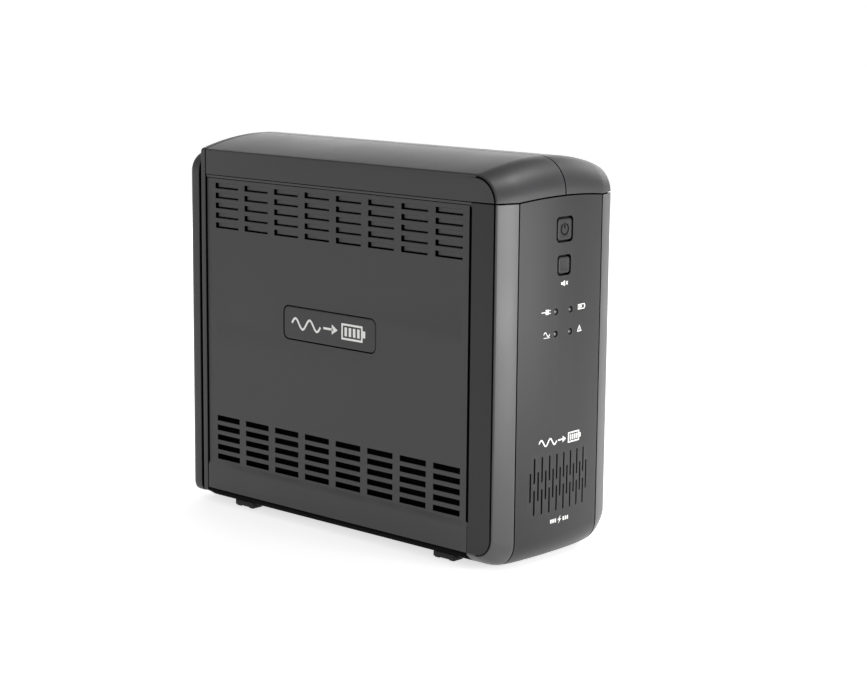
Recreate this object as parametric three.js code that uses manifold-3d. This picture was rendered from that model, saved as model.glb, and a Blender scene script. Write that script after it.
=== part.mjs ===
// Tower uninterruptible power supply: two half shells, a front bezel and panel, a rear socket panel,
// feet, battery door, buttons, battery, transformer and boards.
// Millimetres. +Z up, front towards -Y, origin on the floor under the middle of the case.
import * as THREE from "three";
import { mergeVertices } from "three/addons/utils/BufferGeometryUtils.js";
import Module from "manifold-3d";

const wasm = await Module();
wasm.setup();

// ---------- driving dimensions ----------
const HALF_WIDTH = 50;
const SIDE_BOTTOM = 8.6; // lower edge of a side face
const SIDE_TOP = 221.5; // upper edge of a side face
const CROWN_RISE = 7.7; // top surface above the side faces' upper edge
const BELLY_DROP = 7.3; // underside below the side faces' lower edge
const BELLY_POWER = 8; // how flat the underside is, and how short its turn up at the sides
const FRONT_Y = -122.1; // front edge of a side face
const FRONT_BOW = 7.3; // middle of the front ahead of that edge
const STRIP_X = 36.4; // seam between the front panel and the bezel's angled strip
const STRIP_BOW = 4.7; // that seam ahead of the side face's edge
const REAR_SEAM_Y = 112.5;
const RIM_REAR_Y = 117.3;
const REAR_Y = 129.4;
const TOP_RADIUS = 15.5;
const BOTTOM_RADIUS = 12;
const RIM_RADIUS = 2;
const EDGE_ROUND = 1.6; // rounding along the side faces' edges
const WARP_REACH = 30; // depth over which the bow, crown and belly fade into the plain section
const WALL = 3;
const GAP = 0.3; // between pieces
const SINK = 0.5; // how far a joined shape runs into the one it grows from
const PAST = 2; // how far a cutting shape runs past the surface it opens
const SKIM = 0.1; // the same, where another piece lies close behind
const FAR = 300; // past every surface
const CROWN_STEPS = 16;
const ARC_STEPS = 3; // half the segments of a rounded corner

const PANEL_TOP = 206.4; // recessed side panel
const PANEL_BOTTOM = 24.2;
const PANEL_DEPTH = 1;
const PANEL_CHAMFER = 2.5;
const GROOVE_Y = -103.6; // joint between side shell and front bezel
const GROOVE_WIDTH = 1.8;
const GROOVE_RADIUS = 0.89;
const GROOVE_INSET = 1.9; // the wide part of the groove stops this far inside the panel lines
const SEAM_Z = 206.3; // joint between cap and front bezel
const SEAM_ARCH = 2.1;

const VENT_COLUMNS = 8;
const VENT_ROWS = 5;
const VENT_REAR_Y = 104.5;
const VENT_PITCH_Y = 25.92;
const VENT_LENGTH = 20.14;
const VENT_HEIGHT = 3.3;
const LOWER_VENT_TOP = 56.7;
const LOWER_VENT_PITCH = 6.1;
const UPPER_VENT_BOTTOM = 198.1;
const UPPER_VENT_PITCH = 6.05;
const LOUVRE_DEPTH = 3.4;
const LOUVRE_GAP = 0.7;
const LOUVRE_PAD = 2.2; // the wall is this much thicker behind the louvres
const LOUVRE_MARGIN = 2;

const BADGE = { y: 6.65, z: 122.85, width: 76, height: 20, radius: 4, depth: 1 };

const POWER_BUTTON = { z: 189.6, width: 14, height: 13.8, radius: 2.2 };
const MUTE_BUTTON = { z: 169.6, width: 11.4, height: 11, radius: 2 };
const BUTTON = { travel: 1, setBack: 0.5, bevel: 0.4, flangeGrow: 2.6, flange: 1.2, stem: 2 };
const LED_X = 6.45;
const LED_ROWS = [144, 131.5];
const LED_RADIUS = 1.7;
const LED_SET_BACK = 0.6;
const GRILLE = { z: 46.35, pitch: 6.2, slot: 1.3, tall: 33.3, bridge: 3.4, middle: 17 };
const FRONT_PANEL_END_Y = -111.2; // front panel stops here under the case
const FRONT_CUT_Y = -118; // holes in the front panel are cut back to here
const BAR = { halfLength: 42, end: 4.5, bottom: 198, top: 203, thickness: 2.5, setBack: 9 };
const LIP = { depth: 1.7, ahead: 6, neck: 1.2, behind: 4.5, below: 2, above: 1 };

const FOOT = { x: 39.5, ribWidth: 8, ribDepth: 3.6, ribPitch: 11, padMargin: 0.6, padBottom: 0.8, top: 6 };
const FOOT_FRONT_Y = -81;
const FOOT_REAR_Y = 86.1;

const DOOR = { halfWidth: 34.3, front: -96, rear: 66, top: 4.2, travel: 40 };
const GRIP = { count: 5, halfLength: 14, width: 1.6, pitch: 4, margin: 12, top: 2.4 };
const CHANNEL_TOP = 4.6;
const CHANNEL_REAR = DOOR.rear + DOOR.travel + SINK;
const BAY = { floorTop: 7, side: 4, end: 3, clear: 1 };
const BATTERY = {
  halfWidth: 32.5,
  front: -91,
  rear: 60,
  bottom: 4.8,
  height: 94,
  radius: 2,
  lid: 6,
  lidInset: 1,
};
const TERMINAL = {
  x: 16,
  setBack: 10,
  foot: 8,
  footThickness: 1.2,
  tabWidth: 6.2,
  tabThickness: 0.8,
  tabTop: 6.5,
};
const SHELF = {
  bottom: 106.5,
  top: 108,
  halfWidth: 45,
  front: -70,
  rear: 88,
  tabs: [-64, -10],
  tabLength: 10,
  tabTop: 124,
};
const LEDGE = { fronts: [-52, -8, 72], length: 10, reach: 4, height: 4 };
const RIB = { fronts: [-80, -15, 46], thickness: 2, bottom: 60, top: 96 };
const CORE = {
  halfWidth: 39,
  bottom: 108.4,
  height: 65,
  y: 45,
  stack: 46,
  leg: 13,
  clear: 0.4,
  overhang: 12,
  coilRadius: 8,
};
const BRACKET = { thickness: 1.5, foot: 4, width: 30 };
const MAIN_BOARD = { x: 33, thickness: 1.6, front: -88, rear: 4, bottom: 112, top: 204 };
const BOARD_FACE = MAIN_BOARD.x - GAP; // the main board's parts stand on this
const HEAT_SINK = { reach: 30, base: 3, height: 50, fins: 5, pitch: 6.5, fin: 2, depth: 12 };
const HEAT_SINKS = [[-60, 140], [-32, 140]]; // (y, z), as for the parts below
const RELAY = { width: 19, height: 15, depth: 16, radius: 1 };
const RELAYS = [[-52, 124], [-28, 124]];
const CAPACITOR = { radius: 8, length: 30, dimple: 6.5, dimpleDepth: 0.6 };
const CAPACITORS = [[-76, 172], [-76, 192]];
const FUSE = { length: 19, halfHeight: 3, depth: 12, holder: 5, margin: 1 };
const FUSE_PLACE = [-14, 116];
const CONTROL_BOARD = { y: -113, thickness: 1.6, halfWidth: 19, bottom: 122, top: 203 };
const BOARD_FRONT = CONTROL_BOARD.y - GAP; // the control board's parts end here
const POST = { radius: 2.5, x: 16, heights: [126, 193] };
const TACT = { half: 3.1, body: 3.5, height: 5, plunger: 1.7 };
const BUZZER = { z: 156.5, radius: 6, height: 5, hole: 1, holeDepth: 3 };
const LEAD_SIDES = 8;
const BATTERY_LEAD = { radius: 1.8, height: 122, step: 14, bend: 9 };
const SIGNAL_LEAD_RADIUS = 2;
const SCREWS = [[-96, 213], [92, 213], [-97, 15], [73, 15]];
const SCREW = {
  boss: 4,
  bossEnd: 1.5,
  head: 3,
  headHeight: 2,
  recess: 4,
  shank: 1.5,
  shankEnd: 1.8,
  pilot: 1.3,
  tipDepth: 20,
  holeDepth: 24,
  slotLength: 4,
  slotWidth: 0.8,
  slotDepth: 1,
};

const OUTLET = {
  width: 30,
  height: 22,
  depth: 20,
  recess: 1,
  radius: 3,
  slotDepth: 13,
  bladeX: -4.3,
  neutral: 4.5,
  live: 3.7,
  bladeNear: 5.4,
  bladeFar: 7.3,
  earthX: 7.6,
  earth: 2.6,
};
const OUTLET_X = 20;
const OUTLET_ROWS = [178, 152, 126, 100];
const INLET = {
  x: 20,
  z: 66,
  width: 28,
  height: 20,
  depth: 22,
  radius: 2,
  recess: 0.4,
  wall: 2,
  cavity: 17,
  corner: 5,
};
const PIN = { places: [[-7, -1.5], [0, 2.5], [7, -1.5]], width: 2, height: 4, root: 32, tip: 5 };
const BREAKER = {
  x: -20,
  z: 66,
  radius: 4.5,
  travel: 2.5,
  collar: 3,
  depth: 22,
  recess: 2.2,
  well: 16,
  buttonRecess: 0.2,
};
const PORT_RECESS = 0.6;
const USB = {
  x: -24,
  z: 36,
  width: 12,
  height: 11,
  depth: 14,
  cavity: [8.4, 7.8],
  cavityDepth: 9,
  tongue: [5.6, 3.2],
};
const JACKS = {
  x: 17,
  z: 36,
  width: 34,
  height: 14,
  depth: 16,
  spacing: 16.4,
  cavityDepth: 12,
  halfWidth: 6,
  floor: -2.6,
  roof: 4.4,
  latchHalfWidth: 3.2,
  latchFloor: -4.6,
};
const TRAY = { inset: 1.5, wall: 2.5, rounding: 4, topRadius: 14, bottomRadius: 6 };
const TRAY_REACH = 20; // the hollow behind the tray is cut this far into the case
const REAR_SLOTS = { count: 4, halfWidth: 30, bottom: 197, pitch: 5, height: 2 };
const REAR_CUT = 10; // holes in the rear panel are cut this deep

// ---------- materials ----------
function plastic(hex, roughness = 0.6) {
  return new THREE.MeshStandardMaterial({ color: hex, roughness, metalness: 0, flatShading: true });
}

function metal(hex, roughness = 0.4) {
  return new THREE.MeshStandardMaterial({ color: hex, roughness, metalness: 1, flatShading: true });
}

const CHARCOAL = plastic(0x37373a);
const FASCIA = plastic(0x4c4b4c, 0.45);
const BLACK = plastic(0x161617);
const LENS = plastic(0x0c0d10, 0.2);
const BOARD = plastic(0x1f4f32);
const COPPER_WINDING = plastic(0xb9a56a);
const RED = plastic(0xa01c1c);
const RUBBER = plastic(0x1b1b1c, 0.9);
const STEEL = metal(0x9a9c9f);
const ALUMINIUM = metal(0xb4b7ba);
const BRASS = metal(0xb08d4a);

// ---------- solids ----------
function toSolid(geometry) {
  const bare = new THREE.BufferGeometry();
  bare.setAttribute("position", geometry.getAttribute("position"));
  if (geometry.index) bare.setIndex(geometry.index);
  const merged = mergeVertices(bare, 1e-4);
  return new wasm.Manifold(
    new wasm.Mesh({
      numProp: 3,
      vertProperties: merged.attributes.position.array,
      triVerts: new Uint32Array(merged.index.array),
    }),
  );
}

function cut(body, ...tools) {
  return tools.reduce((left, tool) => left.subtract(tool), body);
}

function join(...bodies) {
  return bodies.reduce((sum, body) => sum.add(body));
}

function box(x0, x1, y0, y1, z0, z1) {
  const geometry = new THREE.BoxGeometry(x1 - x0, y1 - y0, z1 - z0);
  geometry.translate((x0 + x1) / 2, (y0 + y1) / 2, (z0 + z1) / 2);
  return toSolid(geometry);
}

// An outline drawn in (y, z), extruded from x0 to x1.
function alongX(shape, x0, x1, options = {}) {
  const geometry = new THREE.ExtrudeGeometry(shape, extrusion(x1 - x0, options));
  geometry.applyMatrix4(
    new THREE.Matrix4().makeBasis(
      new THREE.Vector3(0, 1, 0),
      new THREE.Vector3(0, 0, 1),
      new THREE.Vector3(1, 0, 0),
    ),
  );
  geometry.translate(x0 + (options.bevel ?? 0), 0, 0);
  return geometry;
}

// An outline drawn in (x, z), extruded from y0 to y1.
function alongY(shape, y0, y1, options = {}) {
  const geometry = new THREE.ExtrudeGeometry(shape, extrusion(y1 - y0, options));
  geometry.applyMatrix4(
    new THREE.Matrix4().makeBasis(
      new THREE.Vector3(1, 0, 0),
      new THREE.Vector3(0, 0, 1),
      new THREE.Vector3(0, -1, 0),
    ),
  );
  geometry.translate(0, y1 - (options.bevel ?? 0), 0);
  return geometry;
}

// An outline drawn in (x, y), extruded from z0 to z1.
function alongZ(shape, z0, z1, options = {}) {
  const geometry = new THREE.ExtrudeGeometry(shape, extrusion(z1 - z0, options));
  geometry.translate(0, 0, z0 + (options.bevel ?? 0));
  return geometry;
}

function extrusion(length, { bevel = 0, steps = 1, curveSegments = 2 }) {
  return {
    depth: length - 2 * bevel,
    steps,
    curveSegments,
    bevelEnabled: bevel > 0,
    bevelThickness: bevel,
    bevelSize: bevel,
    bevelOffset: -bevel,
    bevelSegments: 2,
  };
}

function cylinder(axis, radius, centre, from, to, sides = 16) {
  const geometry = new THREE.CylinderGeometry(radius, radius, to - from, sides);
  if (axis === "x") geometry.rotateZ(-Math.PI / 2);
  if (axis === "z") geometry.rotateX(Math.PI / 2);
  const middle = (from + to) / 2;
  if (axis === "x") geometry.translate(middle, centre[0], centre[1]);
  if (axis === "y") geometry.translate(centre[0], middle, centre[1]);
  if (axis === "z") geometry.translate(centre[0], centre[1], middle);
  return toSolid(geometry);
}

function polygon(points) {
  return new THREE.Shape(points.map(([u, v]) => new THREE.Vector2(u, v)));
}

function roundedRect(u, v, width, height, radius) {
  const left = u - width / 2;
  const right = u + width / 2;
  const low = v - height / 2;
  const high = v + height / 2;
  const shape = new THREE.Shape();
  shape.moveTo(left + radius, low);
  shape.lineTo(right - radius, low);
  shape.absarc(right - radius, low + radius, radius, -Math.PI / 2, 0, false);
  shape.lineTo(right, high - radius);
  shape.absarc(right - radius, high - radius, radius, 0, Math.PI / 2, false);
  shape.lineTo(left + radius, high);
  shape.absarc(left + radius, high - radius, radius, Math.PI / 2, Math.PI, false);
  shape.lineTo(left, low + radius);
  shape.absarc(left + radius, low + radius, radius, Math.PI, 1.5 * Math.PI, false);
  return shape;
}

function range(count) {
  return Array.from({ length: count }, (_, index) => index);
}

// ---------- the case's swept form ----------
function crown(x) {
  return CROWN_RISE * (1 - (x / HALF_WIDTH) ** 2);
}

function belly(x) {
  return BELLY_DROP * (1 - (x / HALF_WIDTH) ** BELLY_POWER);
}

function bow(x) {
  const reach = Math.abs(x);
  if (reach < STRIP_X) return FRONT_BOW - (FRONT_BOW - STRIP_BOW) * (reach / STRIP_X) ** 2;
  const along = Math.min(1, (reach - STRIP_X) / (HALF_WIDTH - STRIP_X));
  return STRIP_BOW * (1 - along ** 1.2);
}

function fade(distance) {
  return THREE.MathUtils.clamp(distance / WARP_REACH, 0, 1);
}

function frontY(x) {
  return FRONT_Y - bow(x);
}

// Swells the plain section into the crowned top, full belly and bowed front.
function swell(geometry) {
  const position = geometry.getAttribute("position");
  for (const index of range(position.count)) {
    const x = position.getX(index);
    const y = position.getY(index);
    const z = position.getZ(index);
    const forward = bow(x) * fade(FRONT_Y + WARP_REACH - y);
    const up = crown(x) * fade(z - SIDE_TOP + WARP_REACH);
    const down = belly(x) * fade(SIDE_BOTTOM + WARP_REACH - z);
    position.setXYZ(index, x, y - forward, z + up - down);
  }
  return geometry;
}

function sideOutline(inset, rearY, rearRadius) {
  const front = FRONT_Y + inset;
  const top = SIDE_TOP - inset;
  const bottom = SIDE_BOTTOM + inset;
  const upper = TOP_RADIUS - inset;
  const lower = BOTTOM_RADIUS - inset;
  const shape = new THREE.Shape();
  shape.moveTo(front + lower, bottom);
  shape.lineTo(rearY - rearRadius, bottom);
  shape.absarc(rearY - rearRadius, bottom + rearRadius, rearRadius, -Math.PI / 2, 0, false);
  shape.lineTo(rearY, top - rearRadius);
  shape.absarc(rearY - rearRadius, top - rearRadius, rearRadius, 0, Math.PI / 2, false);
  shape.lineTo(front + upper, top);
  shape.absarc(front + upper, top - upper, upper, Math.PI / 2, Math.PI, false);
  shape.lineTo(front, bottom + lower);
  shape.absarc(front + lower, bottom + lower, lower, Math.PI, 1.5 * Math.PI, false);
  return shape;
}

function caseOuter() {
  const outline = sideOutline(0, RIM_REAR_Y, RIM_RADIUS);
  const options = { bevel: EDGE_ROUND, steps: CROWN_STEPS, curveSegments: ARC_STEPS };
  return toSolid(swell(alongX(outline, -HALF_WIDTH, HALF_WIDTH, options)));
}

function caseCavity() {
  const outline = sideOutline(WALL, RIM_REAR_Y + 2 * WALL, RIM_RADIUS);
  const options = { steps: CROWN_STEPS / 2, curveSegments: ARC_STEPS - 1 };
  return toSolid(swell(alongX(outline, WALL - HALF_WIDTH, HALF_WIDTH - WALL, options)));
}

// Everything below the arched joint under the cap, ahead of rearY.
function belowSeam(lift, rearY) {
  const far = 2 * HALF_WIDTH;
  const shape = new THREE.Shape();
  shape.moveTo(-far, -far);
  shape.lineTo(far, -far);
  shape.lineTo(far, SEAM_Z + lift);
  shape.lineTo(STRIP_X, SEAM_Z + lift);
  for (const step of range(9).slice(1)) {
    const x = STRIP_X * (1 - step / 4);
    shape.lineTo(x, SEAM_Z + lift + SEAM_ARCH * (1 - (x / STRIP_X) ** 2));
  }
  shape.lineTo(-far, SEAM_Z + lift);
  return toSolid(alongY(shape, -2 * far, rearY));
}

const OUTER = caseOuter();
const SKIN = OUTER.subtract(caseCavity());

// ---------- half shells ----------
function mirrored(side, x0, x1) {
  return side < 0 ? [-x1, -x0] : [x0, x1];
}

function sideBox(side, x0, x1, y0, y1, z0, z1) {
  const [low, high] = mirrored(side, x0, x1);
  return box(low, high, y0, y1, z0, z1);
}

function ventColumns() {
  return range(VENT_COLUMNS).map((index) => {
    const rear = VENT_REAR_Y - VENT_PITCH_Y * index;
    return [rear - VENT_LENGTH, rear];
  });
}

function panelRecess(side) {
  const face = HALF_WIDTH - PANEL_DEPTH;
  const outside = HALF_WIDTH + PANEL_DEPTH;
  const outline = [
    [face, PANEL_BOTTOM + PANEL_CHAMFER],
    [outside, PANEL_BOTTOM - PANEL_CHAMFER],
    [outside, PANEL_TOP + PANEL_CHAMFER],
    [face, PANEL_TOP - PANEL_CHAMFER],
  ];
  const shape = polygon(outline.map(([x, z]) => [side * x, z]));
  return toSolid(alongY(shape, GROOVE_Y - GROOVE_WIDTH / 2, RIM_REAR_Y));
}

function lowerVents(side) {
  return ventColumns().flatMap(([front, rear]) =>
    range(VENT_ROWS).map((row) => {
      const top = LOWER_VENT_TOP - LOWER_VENT_PITCH * row;
      return sideBox(side, HALF_WIDTH - WALL - PAST, HALF_WIDTH + PAST, front, rear, top - VENT_HEIGHT, top);
    }),
  );
}

// A louvre is a flat-backed recess, open through the wall along its foot.
function upperVents(side) {
  const face = HALF_WIDTH - PANEL_DEPTH;
  const back = face - LOUVRE_DEPTH;
  return ventColumns().flatMap(([front, rear]) =>
    range(VENT_ROWS).map((row) => {
      const bottom = UPPER_VENT_BOTTOM - UPPER_VENT_PITCH * row;
      const outline = [
        [face + PAST, bottom],
        [face + PAST, bottom + VENT_HEIGHT],
        [back, bottom + VENT_HEIGHT],
        [back, bottom + LOUVRE_GAP],
        [back - LOUVRE_PAD, bottom + LOUVRE_GAP],
        [back - LOUVRE_PAD, bottom],
      ];
      return toSolid(alongY(polygon(outline.map(([x, z]) => [side * x, z])), front, rear));
    }),
  );
}

function louvrePad(side) {
  const inner = HALF_WIDTH - WALL;
  const top = UPPER_VENT_BOTTOM + VENT_HEIGHT + LOUVRE_MARGIN;
  const bottom = UPPER_VENT_BOTTOM - UPPER_VENT_PITCH * (VENT_ROWS - 1) - LOUVRE_MARGIN;
  const front = VENT_REAR_Y - VENT_PITCH_Y * (VENT_COLUMNS - 1) - VENT_LENGTH - LOUVRE_MARGIN;
  const rear = VENT_REAR_Y + LOUVRE_MARGIN;
  return sideBox(side, inner - LOUVRE_PAD, inner + SINK, front, rear, bottom, top);
}

function badgePocket(side, margin, depth) {
  const outline = roundedRect(
    BADGE.y,
    BADGE.z,
    BADGE.width + 2 * margin,
    BADGE.height + 2 * margin,
    BADGE.radius + margin,
  );
  const face = HALF_WIDTH - PANEL_DEPTH;
  const [low, high] = mirrored(side, face - depth, margin > 0 ? face + PAST : face);
  return toSolid(alongX(outline, low, high));
}

// Shelf ledges, battery side ribs and screw bosses inside a half shell.
function shellFittings(side) {
  const inner = HALF_WIDTH - WALL;
  const ledges = LEDGE.fronts.map((y) => {
    const bottom = SHELF.bottom - LEDGE.height;
    return sideBox(side, inner - LEDGE.reach, inner + SINK, y, y + LEDGE.length, bottom, SHELF.bottom - GAP);
  });
  const ribs = RIB.fronts.map((y) =>
    sideBox(side, BATTERY.halfWidth + 1, inner + SINK, y, y + RIB.thickness, RIB.bottom, RIB.top),
  );
  const bosses = SCREWS.map(([y, z]) => {
    const [low, high] = mirrored(side, SCREW.bossEnd, inner + SINK);
    return cylinder("x", SCREW.boss, [y, z], low, high, 12);
  });
  return [...ledges, ...ribs, ...bosses];
}

function screwHoles(side) {
  return SCREWS.flatMap(([y, z]) => {
    if (side < 0) return [cylinder("x", SCREW.pilot + GAP, [y, z], -SCREW.holeDepth, 0, 8)];
    const seat = HALF_WIDTH - SCREW.recess;
    return [
      cylinder("x", SCREW.shank + GAP, [y, z], 0, seat + PAST, 10),
      cylinder("x", SCREW.head + GAP, [y, z], seat, HALF_WIDTH + PAST, 16),
    ];
  });
}

function bezelRegion(grow) {
  return belowSeam(grow, GROOVE_Y + grow);
}

function grooveCut(side) {
  const low = PANEL_BOTTOM + GROOVE_INSET;
  const high = PANEL_TOP - GROOVE_INSET;
  const outline = roundedRect(GROOVE_Y, (low + high) / 2, GROOVE_WIDTH, high - low, GROOVE_RADIUS);
  const [near, far] = mirrored(side, HALF_WIDTH - WALL - SKIM, HALF_WIDTH + PAST);
  return toSolid(alongX(outline, near, far, { curveSegments: 1 }));
}

function doorChannel() {
  const half = DOOR.halfWidth + GAP;
  return box(-half, half, DOOR.front - GAP, CHANNEL_REAR, -FAR, CHANNEL_TOP);
}

function bayFloor() {
  const half = DOOR.halfWidth + BAY.side;
  return box(-half, half, DOOR.front - BAY.end, CHANNEL_REAR + BAY.end, CHANNEL_TOP, BAY.floorTop);
}

function bayOpening() {
  const half = BATTERY.halfWidth + GAP;
  return box(-half, half, BATTERY.front - BAY.clear, BATTERY.rear + BAY.clear, 0, BAY.floorTop + PAST);
}

function halfShell(side) {
  const [low, high] = mirrored(side, GAP / 2, FAR);
  const half = box(low, high, -FAR, REAR_SEAM_Y - GAP / 2, -FAR, FAR);
  const body = cut(SKIN, bezelRegion(GAP / 2), doorChannel());
  const filled = join(body, bayFloor(), louvrePad(side), ...shellFittings(side));
  return cut(
    filled.intersect(half),
    bayOpening(),
    panelRecess(side),
    grooveCut(side),
    badgePocket(side, GAP, BADGE.depth),
    ...lowerVents(side),
    ...upperVents(side),
    ...screwHoles(side),
  );
}

function badge(side) {
  return badgePocket(side, 0, BADGE.depth - GAP);
}

function screw([y, z]) {
  const seat = HALF_WIDTH - SCREW.recess + GAP / 2;
  const top = seat + SCREW.headHeight;
  const head = cylinder("x", SCREW.head, [y, z], seat, top, 16);
  const shank = cylinder("x", SCREW.shank, [y, z], SCREW.shankEnd, seat + SINK, 10);
  const tip = cylinder("x", SCREW.pilot, [y, z], -SCREW.tipDepth, SCREW.shankEnd + SINK, 8);
  const floor = top - SCREW.slotDepth;
  const { slotLength: long, slotWidth: wide } = SCREW;
  const slots = [
    box(floor, top + PAST, y - long / 2, y + long / 2, z - wide / 2, z + wide / 2),
    box(floor, top + PAST, y - wide / 2, y + wide / 2, z - long / 2, z + long / 2),
  ];
  return cut(join(head, shank, tip), ...slots);
}

// ---------- front ----------
function frontPanelRegion(shrink) {
  const half = STRIP_X - shrink;
  const centre = box(-half, half, -FAR, FRONT_PANEL_END_Y - shrink, -FAR, FAR);
  return centre.intersect(belowSeam(-shrink, 0));
}

function bezelLip(side) {
  const inner = HALF_WIDTH - WALL;
  const low = PANEL_BOTTOM - LIP.below;
  const high = PANEL_TOP - LIP.above;
  const root = GROOVE_Y - LIP.neck;
  return join(
    sideBox(side, inner - LIP.depth, inner + SINK, GROOVE_Y - LIP.ahead, root, low, high),
    sideBox(side, inner - LIP.depth, inner - GAP, root - SINK, GROOVE_Y + LIP.behind, low, high),
  );
}

function frontBezel() {
  const arms = cut(
    SKIN.intersect(bezelRegion(-GAP / 2)),
    frontPanelRegion(-GAP / 2),
    grooveCut(-1),
    grooveCut(1),
  );
  const { halfLength, end, bottom, top } = BAR;
  const front = frontY(0) + BAR.setBack;
  const rear = front + BAR.thickness;
  const bar = box(-halfLength, halfLength, front, rear, bottom, top);
  const start = frontY(halfLength - end / 2) + WALL / 2;
  const ends = [-1, 1].map((side) => sideBox(side, halfLength - end, halfLength, start, rear, bottom, top));
  return join(arms, bar, ...ends, bezelLip(-1), bezelLip(1));
}

function buttonHole({ z, width, height, radius }) {
  const outline = roundedRect(0, z, width + 2 * GAP, height + 2 * GAP, radius + GAP);
  return toSolid(alongY(outline, -FAR, CONTROL_BOARD.y));
}

function grilleSlots() {
  const { z, pitch, tall, bridge, middle } = GRILLE;
  const half = GRILLE.slot / 2;
  const slot = (x, low, high) => box(x - half, x + half, -FAR, FRONT_CUT_Y, low, high);
  const short = range(9).map((index) => slot(pitch * (index - 4), z - middle / 2, z + middle / 2));
  const long = range(8).flatMap((index) => {
    const x = pitch * (index - 3.5);
    return [slot(x, z - tall / 2, z - bridge / 2), slot(x, z + bridge / 2, z + tall / 2)];
  });
  return [...short, ...long];
}

function ledPlaces() {
  return LED_ROWS.flatMap((z) => [-LED_X, LED_X].map((x) => [x, z]));
}

function frontPanel() {
  const plate = SKIN.intersect(frontPanelRegion(GAP / 2));
  const posts = [-POST.x, POST.x].flatMap((x) =>
    POST.heights.map((z) => cylinder("y", POST.radius, [x, z], frontY(x) + WALL - SINK, BOARD_FRONT, 8)),
  );
  const ledHoles = ledPlaces().map((place) =>
    cylinder("y", LED_RADIUS + GAP / 2, place, -FAR, FRONT_CUT_Y, 16),
  );
  return cut(
    join(plate, ...posts),
    buttonHole(POWER_BUTTON),
    buttonHole(MUTE_BUTTON),
    ...ledHoles,
    ...grilleSlots(),
  );
}

// Button cap with a retaining flange behind the panel and a stem to its switch.
function frontButton({ z, width, height, radius }) {
  const face = frontY(0) + BUTTON.setBack;
  const behind = frontY(0) + WALL + BUTTON.travel + SINK;
  const outline = roundedRect(0, z, width, height, radius);
  const wide = roundedRect(0, z, width + BUTTON.flangeGrow, height + BUTTON.flangeGrow, radius);
  const cap = toSolid(alongY(outline, face, behind + SINK, { bevel: BUTTON.bevel }));
  const flange = toSolid(alongY(wide, behind, behind + BUTTON.flange));
  const stemEnd = BOARD_FRONT - TACT.height - BUTTON.travel - GAP;
  const stem = cylinder("y", BUTTON.stem, [0, z], behind + SINK, stemEnd, 12);
  return join(cap, flange, stem);
}

function ledLens(place) {
  return cylinder("y", LED_RADIUS - GAP / 2, place, frontY(LED_X) + LED_SET_BACK, BOARD_FRONT, 16);
}

// ---------- control board ----------
function controlBoard() {
  const { y, thickness, halfWidth, bottom, top } = CONTROL_BOARD;
  return box(-halfWidth, halfWidth, y, y + thickness, bottom, top);
}

function tactSwitch({ z }) {
  const { half, body, height, plunger } = TACT;
  const block = box(-half, half, BOARD_FRONT - body, BOARD_FRONT, z - half, z + half);
  return join(block, cylinder("y", plunger, [0, z], BOARD_FRONT - height, BOARD_FRONT - body + SINK, 12));
}

function buzzer() {
  const place = [0, BUZZER.z];
  const front = BOARD_FRONT - BUZZER.height;
  const can = cylinder("y", BUZZER.radius, place, front, BOARD_FRONT, 20);
  return can.subtract(cylinder("y", BUZZER.hole, place, front - PAST, front + BUZZER.holeDepth, 8));
}

// ---------- rear ----------
function topZ(x) {
  return SIDE_TOP + crown(x);
}

function bottomZ(x) {
  return SIDE_BOTTOM - belly(x);
}

// Rear view of the socket panel, set in from the case all round.
function rearOutline(inset, topRadius, bottomRadius) {
  const half = HALF_WIDTH - inset;
  const upper = half - topRadius;
  const lower = half - bottomRadius;
  const roof = (x) => topZ(x) - inset;
  const floor = (x) => bottomZ(x) + inset;
  const shape = new THREE.Shape();
  shape.moveTo(-lower, floor(lower));
  for (const step of range(7).slice(1)) {
    const x = lower * (step / 3 - 1);
    shape.lineTo(x, floor(x));
  }
  shape.quadraticCurveTo(half, floor(lower), half, floor(lower) + bottomRadius);
  shape.lineTo(half, roof(upper) - topRadius);
  shape.quadraticCurveTo(half, roof(half), upper, roof(upper));
  for (const step of range(9).slice(1)) {
    const x = upper * (1 - step / 4);
    shape.lineTo(x, roof(x));
  }
  shape.quadraticCurveTo(-half, roof(half), -half, roof(upper) - topRadius);
  shape.lineTo(-half, floor(lower) + bottomRadius);
  shape.quadraticCurveTo(-half, floor(lower), -lower, floor(lower));
  return shape;
}

function outletPlaces() {
  return OUTLET_ROWS.flatMap((z) => [-OUTLET_X, OUTLET_X].map((x) => [x, z]));
}

function rearWindow({ x, z, width, height, radius = 0 }) {
  const outline = roundedRect(x, z, width + 2 * GAP, height + 2 * GAP, radius + GAP);
  return toSolid(alongY(outline, REAR_Y - REAR_CUT, REAR_Y + PAST, { curveSegments: 1 }));
}

function rearSlots() {
  const { halfWidth, bottom, pitch, height, count } = REAR_SLOTS;
  return range(count).map((row) => {
    const low = bottom + pitch * row;
    return box(-halfWidth, halfWidth, REAR_Y - REAR_CUT, REAR_Y + PAST, low, low + height);
  });
}

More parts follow.
